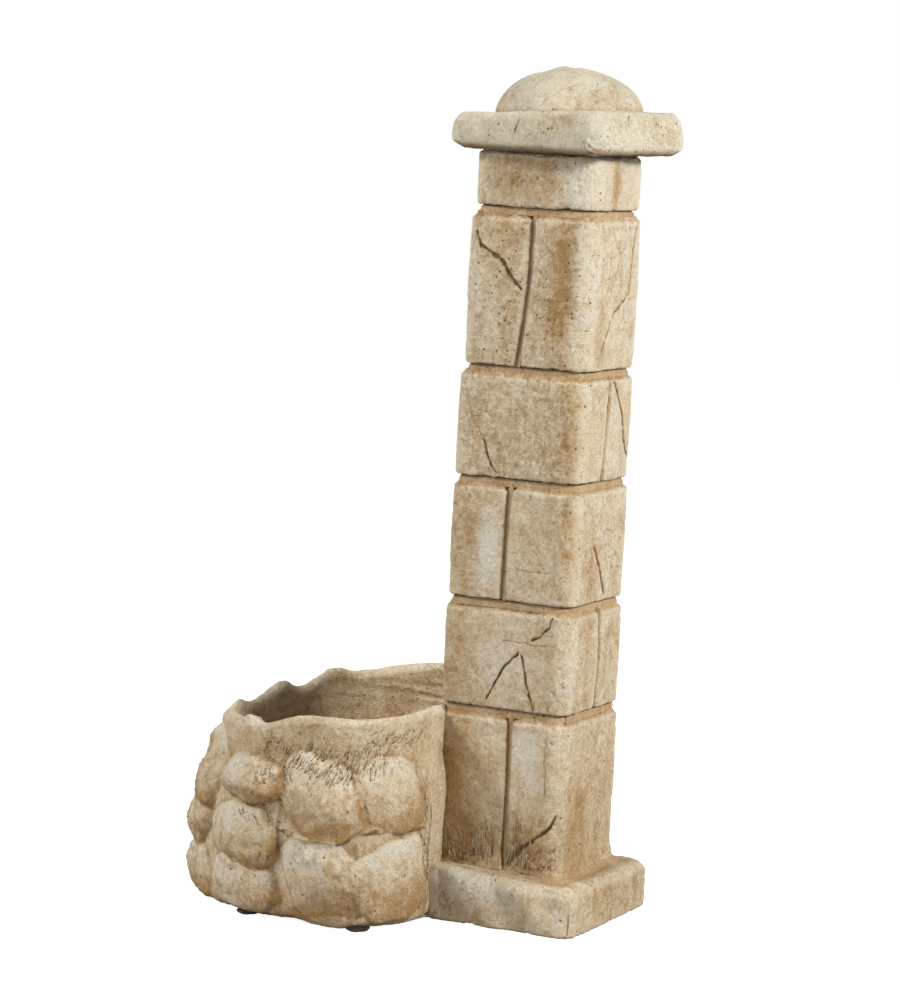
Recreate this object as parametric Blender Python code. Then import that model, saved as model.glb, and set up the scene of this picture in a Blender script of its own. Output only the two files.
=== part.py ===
"""A garden fountain of cast stone: a square column of jointed courses on a plinth, capped with a
slab and a low dome, with a rock-faced basin built against its front."""

import math

import bmesh
import bpy
from mathutils import Matrix, Vector

# Driving dimensions, in metres. +Z is up and the basin is towards -Y. The origin is on the ground,
# under the middle of the column.

GAP = 0.0003  # what two touching pieces keep between their faces

PLINTH_WIDTH = 0.257  # along X
PLINTH_DEPTH = 0.267  # along Y
PLINTH_HEIGHT = 0.062
PLINTH_EDGE = 0.010  # how far its worn edges are rounded
PLINTH_MIDDLE = -0.003  # Y of the plinth's middle

COLUMN_WIDTH = 0.168  # along X, over the faces of the middle courses
COLUMN_DEPTH = 0.180  # along Y
COURSE_HEIGHTS = (0.199, 0.132, 0.149, 0.135, 0.195, 0.068)  # from the plinth up
# How far each course's half width and half depth are over the column's, and the Y of its middle.
COURSE_WIDTH_SWELLS = (0.005, 0.003, 0.003, 0.001, -0.002, -0.003)
COURSE_DEPTH_SWELLS = (0.001, 0.001, 0.000, 0.000, -0.001, -0.004)
COURSE_MIDDLES = (0.0, 0.0, 0.0, 0.0, 0.002, 0.003)
COURSE_EDGE = 0.008
BED_HEIGHT = 0.008  # the mortar between two courses
BED_RECESS = 0.009  # how far the mortar stands back from the stone
STONE_JOINT = 0.007  # the upright mortar joint between the two stones of a course

# Each course's upright joint: "front_rear" splits it across Y, "left_right" across X, and the place of
# the joint from the column's middle follows.
COURSE_JOINTS = (
    ("front_rear", 0.014),
    ("left_right", -0.006),
    ("front_rear", -0.006),
    ("left_right", 0.004),
    ("front_rear", 0.000),
    None,
)

PAD_HEIGHT = 0.006  # the pale mortar pad under the cap
PAD_RECESS = 0.006
CAP_SIDE = 0.224  # the cap slab is square
CAP_HEIGHT = 0.049
CAP_TURN = -6.6  # degrees: the slab is laid a little askew
CAP_TILT = 2.4  # degrees, down towards the basin
CAP_MIDDLE = (0.0, 0.014)
# The slab's side, from its underside up: a share of its height, how far it stands back, its corners' radius.
CAP_PROFILE = (
    (0.00, 0.012, 0.006),
    (0.25, 0.003, 0.009),
    (0.45, 0.000, 0.010),
    (0.80, 0.001, 0.012),
    (1.00, 0.008, 0.014),
)
DOME_WIDTH = 0.190
DOME_RISE = 0.057

BASIN_HALF_WIDTH = 0.272  # along X, at its widest height
BASIN_MIDDLE = -0.180  # Y where it is widest
BASIN_FRONT_REACH = 0.262  # from there to the front
BASIN_BACK_REACH = 0.137  # from there to the wall's flat back, behind the column's front
FRONT_SQUARENESS = 2.3  # 2 would be an ellipse, and more is squarer
BACK_SQUARENESS = 3.0
BASIN_WALL = 0.042
WALL_BATTER = 0.006  # how much further in the wall's inner face stands at its foot
BASIN_FOOT = 0.004  # the underside's height over the ground
RIM_AT_COLUMN = 0.279
RIM_AT_FRONT = 0.221
RIM_ROUND = 0.006  # how far the rim's inner edge is eased
FLOOR_THICKNESS = 0.036
BASIN_SEGMENTS = (
    "right_back",
    "right_rear",
    "right",
    "right_front",
    "front",
    "left_front",
    "left",
    "left_rear",
    "left_back",
)
SEGMENT_SPANS = 3  # flat spans in each segment
DAB_TURNS = (("rear", -17), ("front", 20))  # degrees round the plan from the widest place, on both sides
DAB_RADIUS = 0.014
DAB_TAPER = 0.85  # the top's share of the radius

# How far the wall's outer face stands out from the plan: a share of the wall's height, and metres.
WALL_PROFILE = (
    (0.00, -0.004),
    (0.06, 0.002),
    (0.25, 0.003),
    (0.50, 0.000),
    (0.75, -0.014),
    (0.93, -0.027),
    (1.00, -0.035),
)


def clear_scene():
    for old in list(bpy.data.objects):
        bpy.data.objects.remove(old, do_unlink=True)


def stone_material(name, colour, roughness):
    material = bpy.data.materials.new(name)
    material.use_nodes = True
    shader = material.node_tree.nodes["Principled BSDF"]
    shader.inputs["Base Color"].default_value = (*colour, 1.0)
    shader.inputs["Roughness"].default_value = roughness
    shader.inputs["Metallic"].default_value = 0.0
    return material


clear_scene()
CAST_STONE = stone_material("cast_stone", (0.66, 0.55, 0.38), 0.9)
ROCK_STONE = stone_material("rock_stone", (0.62, 0.50, 0.33), 0.92)
DARK_MORTAR = stone_material("dark_mortar", (0.24, 0.16, 0.09), 0.95)
PALE_MORTAR = stone_material("pale_mortar", (0.66, 0.68, 0.70), 0.85)


def add_piece(name, bm, material, smooth=False):
    """Closes off a bmesh as one named object with its own material."""
    bmesh.ops.recalc_face_normals(bm, faces=bm.faces)
    mesh = bpy.data.meshes.new(name)
    bm.to_mesh(mesh)
    bm.free()
    if smooth:
        mesh.shade_smooth()
        mesh.set_sharp_from_angle(angle=math.radians(40))
    mesh.materials.append(material)
    piece = bpy.data.objects.new(name, mesh)
    bpy.context.scene.collection.objects.link(piece)
    return piece


def round_edges(piece, width, segments=2):
    bevel = piece.modifiers.new("worn_edges", "BEVEL")
    bevel.width = width
    bevel.segments = segments
    bevel.limit_method = "ANGLE"
    bevel.angle_limit = math.radians(30)


def add_block(name, low, high, material, edge=0.0):
    """A block between two corners, with its edges rounded if edge is given."""
    bm = bmesh.new()
    middle = [(a + b) / 2 for a, b in zip(low, high)]
    sides = [b - a for a, b in zip(low, high)]
    bmesh.ops.create_cube(bm, size=1.0, matrix=Matrix.Translation(middle) @ Matrix.Diagonal((*sides, 1.0)))
    piece = add_piece(name, bm, material)
    if edge:
        round_edges(piece, edge)
    return piece


def loft(rings):
    """A bmesh skinned over closed rings of equal length, closed with a flat face at both ends."""
    bm = bmesh.new()
    loops = [[bm.verts.new(point) for point in ring] for ring in rings]
    for lower, upper in zip(loops, loops[1:]):
        for i in range(len(lower)):
            j = (i + 1) % len(lower)
            bm.faces.new((lower[i], lower[j], upper[j], upper[i]))
    bm.faces.new(list(reversed(loops[0])))
    bm.faces.new(loops[-1])
    return bm


# The plinth.
add_block(
    "plinth",
    (-PLINTH_WIDTH / 2, PLINTH_MIDDLE - PLINTH_DEPTH / 2, 0.0),
    (PLINTH_WIDTH / 2, PLINTH_MIDDLE + PLINTH_DEPTH / 2, PLINTH_HEIGHT),
    CAST_STONE,
    PLINTH_EDGE,
)


# The column: courses of one or two stones, each on a bed of mortar that stands back from their faces.


def course_half_width(index):
    return COLUMN_WIDTH / 2 + COURSE_WIDTH_SWELLS[index]


def course_depth(index):
    """The Y of a course's front and rear faces."""
    half = COLUMN_DEPTH / 2 + COURSE_DEPTH_SWELLS[index]
    return (COURSE_MIDDLES[index] - half, COURSE_MIDDLES[index] + half)


def add_bed(index, z):
    """The mortar under a course: it stands back from both of the courses that it lies between."""
    pair = (index, max(index - 1, 0))
    half_x = min(course_half_width(i) for i in pair) - BED_RECESS
    front = max(course_depth(i)[0] for i in pair) + BED_RECESS
    rear = min(course_depth(i)[1] for i in pair) - BED_RECESS
    low = (-half_x, front, z + GAP)
    high = (half_x, rear, z + BED_HEIGHT - GAP)
    add_block(f"bed_{index + 1}", low, high, DARK_MORTAR)


def add_course(index, z):
    """The stones of a course, and the upright mortar between them."""
    half_x = course_half_width(index)
    front, rear = course_depth(index)
    top = z + COURSE_HEIGHTS[index]
    name = f"course_{index + 1}"
    if COURSE_JOINTS[index] is None:
        add_block(f"{name}_block", (-half_x, front, z), (half_x, rear, top), CAST_STONE, COURSE_EDGE)
        return
    way, place = COURSE_JOINTS[index]
    before = place - STONE_JOINT / 2
    after = place + STONE_JOINT / 2
    if way == "front_rear":
        add_block(f"{name}_front", (-half_x, front, z), (half_x, before, top), CAST_STONE, COURSE_EDGE)
        add_block(f"{name}_rear", (-half_x, after, z), (half_x, rear, top), CAST_STONE, COURSE_EDGE)
        low = (-half_x + BED_RECESS, before + GAP, z)
        high = (half_x - BED_RECESS, after - GAP, top)
    else:
        add_block(f"{name}_left", (-half_x, front, z), (before, rear, top), CAST_STONE, COURSE_EDGE)
        add_block(f"{name}_right", (after, front, z), (half_x, rear, top), CAST_STONE, COURSE_EDGE)
        low = (before + GAP, front + BED_RECESS, z)
        high = (after - GAP, rear - BED_RECESS, top)
    add_block(f"{name}_joint", low, high, DARK_MORTAR)


height = PLINTH_HEIGHT
for course in range(len(COURSE_HEIGHTS)):
    add_bed(course, height)
    add_course(course, height + BED_HEIGHT)
    height += BED_HEIGHT + COURSE_HEIGHTS[course]
COLUMN_TOP = height


# The cap: a mortar pad, an undercut slab and a low dome, laid askew and tilted together.

CAP_LAY = (
    Matrix.Translation((*CAP_MIDDLE, COLUMN_TOP + PAD_HEIGHT))
    @ Matrix.Rotation(math.radians(CAP_TILT), 4, "X")
    @ Matrix.Rotation(math.radians(CAP_TURN), 4, "Z")
)


def square_ring(half, z, corner, steps=3):
    """A square outline at one height, its corners rounded to the radius corner."""
    ring = []
    for quarter in range(4):
        turn = quarter * math.pi / 2
        centre = Matrix.Rotation(turn, 2) @ Vector((half - corner, half - corner))
        for step in range(steps + 1):
            angle = turn + step / steps * math.pi / 2
            ring.append((centre.x + corner * math.cos(angle), centre.y + corner * math.sin(angle), z))
    return ring


def add_pad():
    """The pad: level where it lies on the column, and tilted with the slab on top."""
    last = len(COURSE_HEIGHTS) - 1
    half_x = course_half_width(last) - PAD_RECESS
    front, rear = course_depth(last)[0] + PAD_RECESS, course_depth(last)[1] - PAD_RECESS
    corners = ((-half_x, front), (half_x, front), (half_x, rear), (-half_x, rear))
    slope = math.tan(math.radians(CAP_TILT))
    lower = [(x, y, COLUMN_TOP + GAP) for x, y in corners]
    upper = [(x, y, COLUMN_TOP + PAD_HEIGHT - GAP + (y - CAP_MIDDLE[1]) * slope) for x, y in corners]
    add_piece("cap_pad", loft([lower, upper]), PALE_MORTAR)


def add_slab():
    """The slab: undercut below its widest height, and eased along its upper edge."""
    half = CAP_SIDE / 2
    rings = [square_ring(half - inset, share * CAP_HEIGHT, corner) for share, inset, corner in CAP_PROFILE]
    bm = loft(rings)
    bmesh.ops.transform(bm, matrix=CAP_LAY, verts=bm.verts)
    add_piece("cap_slab", bm, CAST_STONE, smooth=True)


def add_dome():
    """A low turned dome, flat underneath."""
    around = 24
    up = 5
    fullness = 0.8  # 1 would be an ellipse, and less is fuller
    rings = []
    for step in range(up):
        angle = step / up * math.pi / 2
        radius = DOME_WIDTH / 2 * math.cos(angle) ** fullness
        z = CAP_HEIGHT + GAP + (DOME_RISE - GAP) * math.sin(angle)
        rings.append(
            [
                (radius * math.cos(turn), radius * math.sin(turn), z)
                for turn in (2 * math.pi * i / around for i in range(around))
            ]
        )
    bm = loft(rings)
    bmesh.ops.transform(bm, matrix=CAP_LAY, verts=bm.verts)
    add_piece("cap_dome", bm, CAST_STONE, smooth=True)


add_pad()
add_slab()
add_dome()


# The basin: a wall that is round in front and flatter behind, where the column closes it.

BASIN_BACK = BASIN_MIDDLE + BASIN_BACK_REACH
INNER_FOOT = BASIN_WALL + WALL_BATTER
BESIDE_BASIN = (0, 1)  # the courses that the basin stands against
BESIDE_COLUMN = max(course_half_width(index) for index in BESIDE_BASIN) + GAP
BESIDE_PLINTH = PLINTH_WIDTH / 2 + GAP


def plan(turn):
    """A point on the plan. turn is 0 at the widest place on the +X side, and a quarter turn at the front."""
    cosine, sine = math.cos(turn), math.sin(turn)
    reach, power = (BASIN_FRONT_REACH, FRONT_SQUARENESS) if sine > 0 else (BASIN_BACK_REACH, BACK_SQUARENESS)
    radius = (abs(cosine / BASIN_HALF_WIDTH) ** power + abs(sine / reach) ** power) ** (-1 / power)
    return Vector((radius * cosine, BASIN_MIDDLE - radius * sine))


def plan_outward(turn):
    """The outward direction on the plan, from two near points."""
    step = 0.01
    along = plan(turn + step) - plan(turn - step)
    return Vector((-along.y, along.x)).normalized()


def turn_beside(x):
    """The turn, behind the widest place, where the plan passes a given X on the +X side."""
    share = 1 - (x / BASIN_HALF_WIDTH) ** BACK_SQUARENESS
    return -math.atan2(BASIN_BACK_REACH * share ** (1 / BACK_SQUARENESS), x)


def rim_height(y):
    """The rim falls from the column to the front, more and more steeply."""
    share = (BASIN_BACK - y) / (BASIN_BACK_REACH + BASIN_FRONT_REACH)
    return RIM_AT_COLUMN + (RIM_AT_FRONT - RIM_AT_COLUMN) * max(share, 0.0) ** 2


def wall_section(turn):
    """The closed outline of the wall at one place: up its outer face, over the rim and down inside."""
    base = plan(turn)
    out = plan_outward(turn)
    rim = rim_height(base.y)
    outline = []
    for share, swell in WALL_PROFILE:
        spot = base + out * swell
        outline.append((spot.x, spot.y, BASIN_FOOT + share * (rim - BASIN_FOOT)))
    for depth, z in ((BASIN_WALL - RIM_ROUND, rim), (BASIN_WALL, rim - RIM_ROUND), (INNER_FOOT, BASIN_FOOT)):
        spot = base - out * depth
        outline.append((spot.x, spot.y, z))
    return outline


def square_section(x, side, foot=BASIN_FOOT):
    """The wall's outline where it runs straight across behind the bowl, cut square at a given X."""
    outline = wall_section(turn_beside(x))
    return [(side * x, y, max(z, foot)) for _, y, z in outline]


def segment_turns():
    """The turns of the sections in each segment of the wall, from the right round to the left."""
    start = turn_beside(BESIDE_PLINTH)
    sweep = (math.pi - 2 * start) / len(BASIN_SEGMENTS)
    shy = GAP / BASIN_BACK_REACH  # keeps the gap between two segments
    turns = []
    for index in range(len(BASIN_SEGMENTS)):
        low = start + sweep * index + shy
        high = start + sweep * (index + 1) - shy
        turns.append([low + (high - low) * step / SEGMENT_SPANS for step in range(SEGMENT_SPANS + 1)])
    return turns


def add_wall():
    """The curved segments, and the two ends that pass over the plinth to the column's sides."""
    for name, turns in zip(BASIN_SEGMENTS, segment_turns()):
        sections = [wall_section(turn) for turn in turns]
        if name == BASIN_SEGMENTS[0]:
            sections[0] = square_section(BESIDE_PLINTH, 1)
        if name == BASIN_SEGMENTS[-1]:
            sections[-1] = square_section(BESIDE_PLINTH, -1)
        add_piece(f"basin_wall_{name}", loft(sections), ROCK_STONE)
    over_plinth = PLINTH_HEIGHT + GAP
    for name, side in (("right_end", 1), ("left_end", -1)):
        sections = [square_section(x, side, over_plinth) for x in (BESIDE_COLUMN, BESIDE_PLINTH - GAP)]
        add_piece(f"basin_wall_{name}", loft(sections), ROCK_STONE)


def add_floor():
    """The basin's floor: it fills the wall's foot, round the front of the plinth."""
    front = PLINTH_MIDDLE - PLINTH_DEPTH / 2 - GAP
    inset = INNER_FOOT + GAP
    spots = [plan(turn) - plan_outward(turn) * inset for turns in segment_turns() for turn in turns]
    outline = [(spot.x, spot.y) for spot in spots if abs(spot.x) > BESIDE_PLINTH + GAP or spot.y < front]
    first_y, last_y = outline[0][1], outline[-1][1]
    notch = ((-1, last_y), (-1, front), (1, front), (1, first_y))
    outline += [(side * BESIDE_PLINTH, y) for side, y in notch]
    lower = [(x, y, BASIN_FOOT) for x, y in outline]
    upper = [(x, y, BASIN_FOOT + FLOOR_THICKNESS) for x, y in outline]
    add_piece("basin_floor", loft([lower, upper]), ROCK_STONE)


def add_dabs():
    """Dabs of dark mortar under the wall, which level the basin on the ground."""
    for side, side_name in ((1, "right"), (-1, "left")):
        for place, degrees in DAB_TURNS:
            turn = math.radians(degrees)
            spot = plan(turn) - plan_outward(turn) * (DAB_RADIUS - WALL_PROFILE[0][1])
            bm = bmesh.new()
            bmesh.ops.create_cone(
                bm,
                cap_ends=True,
                segments=12,
                radius1=DAB_RADIUS,
                radius2=DAB_RADIUS * DAB_TAPER,
                depth=BASIN_FOOT - GAP,
                matrix=Matrix.Translation((side * spot.x, spot.y, (BASIN_FOOT - GAP) / 2)),
            )
            add_piece(f"basin_dab_{side_name}_{place}", bm, DARK_MORTAR, smooth=True)


add_wall()
add_floor()
add_dabs()
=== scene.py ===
# %% [markdown]
# # A garden fountain of cast stone
# The fountain is a square column of jointed courses on a plinth, under a slab and a low dome, with a
# round rock-faced basin cast against its front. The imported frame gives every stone's place and size as
# plain blocks. This lesson makes each block look cast, worn and stained: the shape in meshes, the
# weathering and the brush marks in two Geometry Nodes trees, and the colour in one shader group that all
# the finishes share.

import math
import random

import bmesh
import bpy
import numpy as np
from mathutils import Matrix, Vector, kdtree
from mathutils.bvhtree import BVHTree


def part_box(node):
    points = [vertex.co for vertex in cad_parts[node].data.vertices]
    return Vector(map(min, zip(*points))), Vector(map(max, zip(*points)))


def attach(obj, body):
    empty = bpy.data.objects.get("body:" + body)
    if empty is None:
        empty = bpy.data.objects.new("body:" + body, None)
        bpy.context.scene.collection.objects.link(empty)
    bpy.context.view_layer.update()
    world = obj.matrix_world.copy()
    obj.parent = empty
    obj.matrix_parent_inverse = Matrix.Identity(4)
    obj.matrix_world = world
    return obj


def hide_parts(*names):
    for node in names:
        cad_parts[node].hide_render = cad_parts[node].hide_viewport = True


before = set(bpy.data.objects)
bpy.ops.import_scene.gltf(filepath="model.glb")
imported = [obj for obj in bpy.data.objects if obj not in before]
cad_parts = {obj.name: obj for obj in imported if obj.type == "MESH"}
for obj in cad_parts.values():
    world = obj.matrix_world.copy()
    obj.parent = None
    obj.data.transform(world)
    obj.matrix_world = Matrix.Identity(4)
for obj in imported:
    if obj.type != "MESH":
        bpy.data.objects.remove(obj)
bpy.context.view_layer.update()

# %% [markdown]
# ## The camera
# A catalogue view: a long lens from behind the column's right side, a little above it, so that the basin
# is on the left. The camera rolls by a few degrees, so its axes are worked out from an azimuth, an
# elevation and a roll round the line of sight.

# %% Camera
AZIMUTH, ELEVATION, ROLL = (math.radians(angle) for angle in (115.857, 6.604, 2.9))
TARGET = Vector((0.0, -0.130, 0.528))
DISTANCE = 4.6261

camera = bpy.data.objects.new("camera", bpy.data.cameras.new("camera"))
camera.data.lens = 126.77
bpy.context.scene.collection.objects.link(camera)
level = Vector((math.cos(AZIMUTH), math.sin(AZIMUTH), 0.0))
ahead = Vector((math.sin(AZIMUTH), -math.cos(AZIMUTH), 0.0))
sight = ahead * math.cos(ELEVATION) + Vector((0.0, 0.0, math.sin(ELEVATION)))
upward = sight.cross(level)
across = level * math.cos(ROLL) + upward * math.sin(ROLL)
upright = upward * math.cos(ROLL) - level * math.sin(ROLL)
turned = Matrix((across, upright, sight)).transposed().to_4x4()
camera.matrix_world = Matrix.Translation(TARGET + sight * DISTANCE) @ turned
bpy.context.scene.camera = camera
print("camera at", [round(value, 3) for value in camera.location])

# %% [markdown]
# ## Floor and light
# Pale cast stone reads best in a white room: a soft, slightly warm key from above and behind the column,
# a side light from over the basin, a weak fill from the right, and a pale world that lifts the shadows.
# The floor and the world light the stone less than they look, so that its undersides stay dark: Light
# Path tells what the camera sees from what the stone sees, which is fair for a stage that isn't part of
# the object.

# %% Floor, lights and world
WHITE = (1.0, 1.0, 1.0, 1.0)
bpy.context.scene.view_settings.view_transform = "Standard"


def by_viewer(tree, unseen, seen, target):
    """Gives a socket one value where the camera looks and another where light falls on the stone."""
    pick = tree.nodes.new("ShaderNodeMapRange")
    pick.inputs["To Min"].default_value = unseen
    pick.inputs["To Max"].default_value = seen
    tree.links.new(tree.nodes.new("ShaderNodeLightPath").outputs["Is Camera Ray"], pick.inputs["Value"])
    tree.links.new(pick.outputs["Result"], target)


floor_mesh = bpy.data.meshes.new("floor")
floor_mesh.from_pydata([(-9, -9, 0), (9, -9, 0), (9, 9, 0), (-9, 9, 0)], [], [(0, 1, 2, 3)])
white_floor = bpy.data.materials.new("white_floor")
white_floor.use_nodes = True
paint = white_floor.node_tree.nodes["Principled BSDF"].inputs
paint["Roughness"].default_value = 0.9
paint["Emission Color"].default_value = WHITE
by_viewer(white_floor.node_tree, 0.50, 0.30, paint["Base Color"])
by_viewer(white_floor.node_tree, 0.0, 0.93, paint["Emission Strength"])
floor_mesh.materials.append(white_floor)
floor = bpy.data.objects.new("floor", floor_mesh)
bpy.context.scene.collection.objects.link(floor)

world = bpy.data.worlds.new("white_room")
world.use_nodes = True
room = world.node_tree.nodes["Background"].inputs
room["Color"].default_value = WHITE
by_viewer(world.node_tree, 0.35, 1.0, room["Strength"])
bpy.context.scene.world = world

# name, place, width, watts
LIGHTS = (
    ("key", (0.35, 3.1, 2.3), 0.7, 162),
    ("side", (1.5, -2.4, 2.7), 0.45, 82),
    ("fill", (3.0, -1.1, 1.7), 0.9, 32),
)
LIT_SPOT = Vector((0, -0.1, 0.5))
for light_name, place, width, watts in LIGHTS:
    data = bpy.data.lights.new(light_name, "AREA")
    data.size = width
    data.energy = watts
    data.color = (1.0, 0.972, 0.915)
    light = bpy.data.objects.new(light_name, data)
    light.location = place
    light.rotation_euler = (Vector(place) - LIT_SPOT).to_track_quat("Z", "Y").to_euler()
    bpy.context.scene.collection.objects.link(light)
print("lights", [name for name, *_ in LIGHTS])

# %% [markdown]
# ## The stone's colour
# The casting is cream, with a tan wash that ran into every hollow and was wiped off the high places, and
# a bloom of lime where water dried. One shader group paints all of this, and painted light and shade too.
# Its masks come from noise, and from four values that each mesh carries at its points: `recess` (painted
# shade: how deep in a crack, joint or crease, under an edge, or where two parts meet), `edge` (how near a
# worn edge), `relief` (how high on the rough surface: high places are painted paler and hollows tanner,
# partly as the wash and partly as painted light and shade) and a stain value (below 0 lime, above 0 tan:
# real stains, and also painted light and shade on the rocks, the cap and the plinth). A group keeps the
# effect in one place, and each finish sets its own amounts on it.

# %% The shader group


def new_group(name, kind, inputs, outputs):
    """A node group with its sockets. Each input is (name, socket type, value or None)."""
    tree = bpy.data.node_groups.new(name, kind)
    for label, socket_type, value in inputs:
        socket = tree.interface.new_socket(label, in_out="INPUT", socket_type=socket_type)
        if value is not None:
            socket.default_value = value
    for label, socket_type in outputs:
        tree.interface.new_socket(label, in_out="OUTPUT", socket_type=socket_type)
    return tree


def adder(tree):
    """A short way to add a node: add(type, {input: value or socket}, property=value)."""

    def add(kind, inputs=None, **properties):
        node = tree.nodes.new(kind)
        for key, value in properties.items():
            setattr(node, key, value)
        for key, value in (inputs or {}).items():
            socket = node.inputs[key]
            if isinstance(value, bpy.types.NodeSocket):
                tree.links.new(value, socket)
            else:
                socket.default_value = value
        return node

    return add


def maths(add, operation, *values, clamp=False):
    return add("ShaderNodeMath", dict(enumerate(values)), operation=operation, use_clamp=clamp).outputs[0]


def weigh_up(add, total, *parts):
    """A total plus every (value, weight), with one Math node for each."""
    for value, weight in parts:
        total = maths(add, "MULTIPLY_ADD", value, weight, total)
    return total


def between(add, value, low, high, to_low=0.0, to_high=1.0):
    """A smooth step from to_low to to_high as value goes from low to high."""
    inputs = {"Value": value, "From Min": low, "From Max": high, "To Min": to_low, "To Max": to_high}
    return add("ShaderNodeMapRange", inputs, interpolation_type="SMOOTHSTEP").outputs["Result"]


def blend_colour(add, share, first, second, way="MIX"):
    node = add("ShaderNodeMix", {"Factor": share}, data_type="RGBA", blend_type=way)
    tree = node.id_data
    for index, colour in ((6, first), (7, second)):
        if isinstance(colour, bpy.types.NodeSocket):
            tree.links.new(colour, node.inputs[index])
        else:
            node.inputs[index].default_value = (*colour, 1.0)
    return node.outputs[2]


def noise_value(add, where, scale, detail=3.0, roughness=0.55, distortion=0.0):
    inputs = {"Vector": where, "Scale": scale, "Detail": detail, "Roughness": roughness,
              "Distortion": distortion}
    return add("ShaderNodeTexNoise", inputs).outputs["Fac"]


COLOUR, FLOAT = "NodeSocketColor", "NodeSocketFloat"


def build_stone_group():
    tree = new_group(
        "aged_cast_stone",
        "ShaderNodeTree",
        [
            ("Cream", COLOUR, (0.765, 0.655, 0.475, 1)),
            ("Tan wash", COLOUR, (0.43, 0.255, 0.095, 1)),
            ("Lime", COLOUR, (0.80, 0.755, 0.66, 1)),
            ("Brown", COLOUR, (0.215, 0.118, 0.044, 1)),
            ("Wash amount", FLOAT, 0.5),
            ("Lime amount", FLOAT, 0.5),
            ("Pinholes", FLOAT, 0.5),
            ("Grain", FLOAT, 1.0),
        ],
        [("Colour", COLOUR), ("Roughness", FLOAT), ("Height", FLOAT)],
    )
    add = adder(tree)
    sockets = add("NodeGroupInput").outputs
    here = add("ShaderNodeTexCoord").outputs["Object"]
    carried = ("recess", "edge", "relief", "stain")
    recess, edge, relief, stain = (
        add("ShaderNodeAttribute", attribute_name=name).outputs["Fac"] for name in carried
    )

    # Broad clouds, vertical runs, blotches and grain.
    clouds = noise_value(add, here, 11, 4, 0.6, 0.6)
    runs_space = add("ShaderNodeMapping", {"Vector": here, "Scale": (1.0, 1.0, 0.16)}).outputs["Vector"]
    runs = noise_value(add, runs_space, 60, 3, 0.6)
    blotches = noise_value(add, here, 62, 7, 0.78, 0.3)
    pitting = noise_value(add, here, 190, 5, 0.72, 0.6)
    speckle = noise_value(add, here, 420, 4, 0.75)
    sand = noise_value(add, here, 1100, 2, 0.6)

    # The tan wash lies in hollows, in runs and clouds, and where a piece is stained. Worn edges are clean.
    # Where relief keeps it off the high places and in the hollows, it is partly painted light and shade,
    # and the stain value brings in painted light and shade too.
    mottle = noise_value(add, here, 34, 6, 0.75, 0.9)
    wash = weigh_up(
        add, sockets["Wash amount"], (clouds, 1.4), (runs, 0.7), (mottle, 1.5), (pitting, -1.7),
        (speckle, -1.1), (relief, -1.6), (stain, 1.0), (edge, -0.42)
    )
    wash = between(add, wash, -0.85, 1.05)  # a slow step, so that even a deep stain keeps its grain
    colour = blend_colour(add, wash, sockets["Cream"], sockets["Tan wash"])

    # Lime blooms on high, dry places. Its pull to the high places of the relief is partly a painted
    # highlight, and it keeps out of the painted shade (recess).
    lime = weigh_up(
        add, blotches, (sockets["Lime amount"], 0.22), (stain, -0.34), (relief, 0.3), (edge, 0.06),
        (recess, -0.6), (pitting, 0.5)
    )
    colour = blend_colour(add, between(add, lime, 0.98, 1.26, 0.0, 0.8), colour, sockets["Lime"])

    # Fine dark flecks where the pitting noise is low, and painted shade (brown) in the deepest places: in
    # cracks, joints and creases, under edges and where parts meet (recess).
    flecks = between(add, pitting, 0.43, 0.25, 0.0, 0.75)
    colour = blend_colour(add, flecks, colour, (0.62, 0.50, 0.38), "MULTIPLY")
    deep = between(add, weigh_up(add, recess, (speckle, 0.4)), 0.30, 1.25)
    colour = blend_colour(add, deep, colour, sockets["Brown"])

    # Pinholes left by air in the mould: some of a fine set of cells and some of a coarser one.
    holes = None
    where_few = between(add, clouds, 0.42, 0.62, 0.35, 1.0)
    for scale, size, share in ((230, 0.22, 0.72), (95, 0.17, 0.38)):
        cell = add("ShaderNodeTexVoronoi", {"Vector": here, "Scale": scale}, feature="F1")
        dot = between(add, cell.outputs["Distance"], size, size * 0.45)
        pick = add("ShaderNodeSeparateColor", {"Color": cell.outputs["Color"]}).outputs[0]
        allowed = maths(add, "MULTIPLY", sockets["Pinholes"], where_few)
        limit = maths(add, "MULTIPLY_ADD", allowed, share - 1.0, 1.0)
        dot = maths(add, "MULTIPLY", dot, maths(add, "GREATER_THAN", pick, limit))
        holes = dot if holes is None else maths(add, "MAXIMUM", holes, dot)
    colour = blend_colour(add, maths(add, "MULTIPLY", holes, 0.86), colour, sockets["Brown"])

    # Sand grains make the colour slightly uneven everywhere.
    grain_light = between(add, sand, 0.3, 0.7, 0.90, 1.08)
    grey = add("ShaderNodeCombineColor", {0: grain_light, 1: grain_light, 2: grain_light}).outputs[0]
    colour = blend_colour(add, 1.0, colour, grey, "MULTIPLY")

    height = weigh_up(add, 0.0, (speckle, 0.8), (sand, 0.25), (pitting, 1.5), (blotches, 1.2))
    height = weigh_up(add, maths(add, "MULTIPLY", height, sockets["Grain"]), (holes, -1.6))
    rough = between(add, speckle, 0.2, 0.8, 0.82, 0.97)
    add("NodeGroupOutput", {"Colour": colour, "Roughness": rough, "Height": height})
    return tree


STONE_GROUP = build_stone_group()
print("shader group", STONE_GROUP.name, len(STONE_GROUP.nodes), "nodes")


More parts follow.
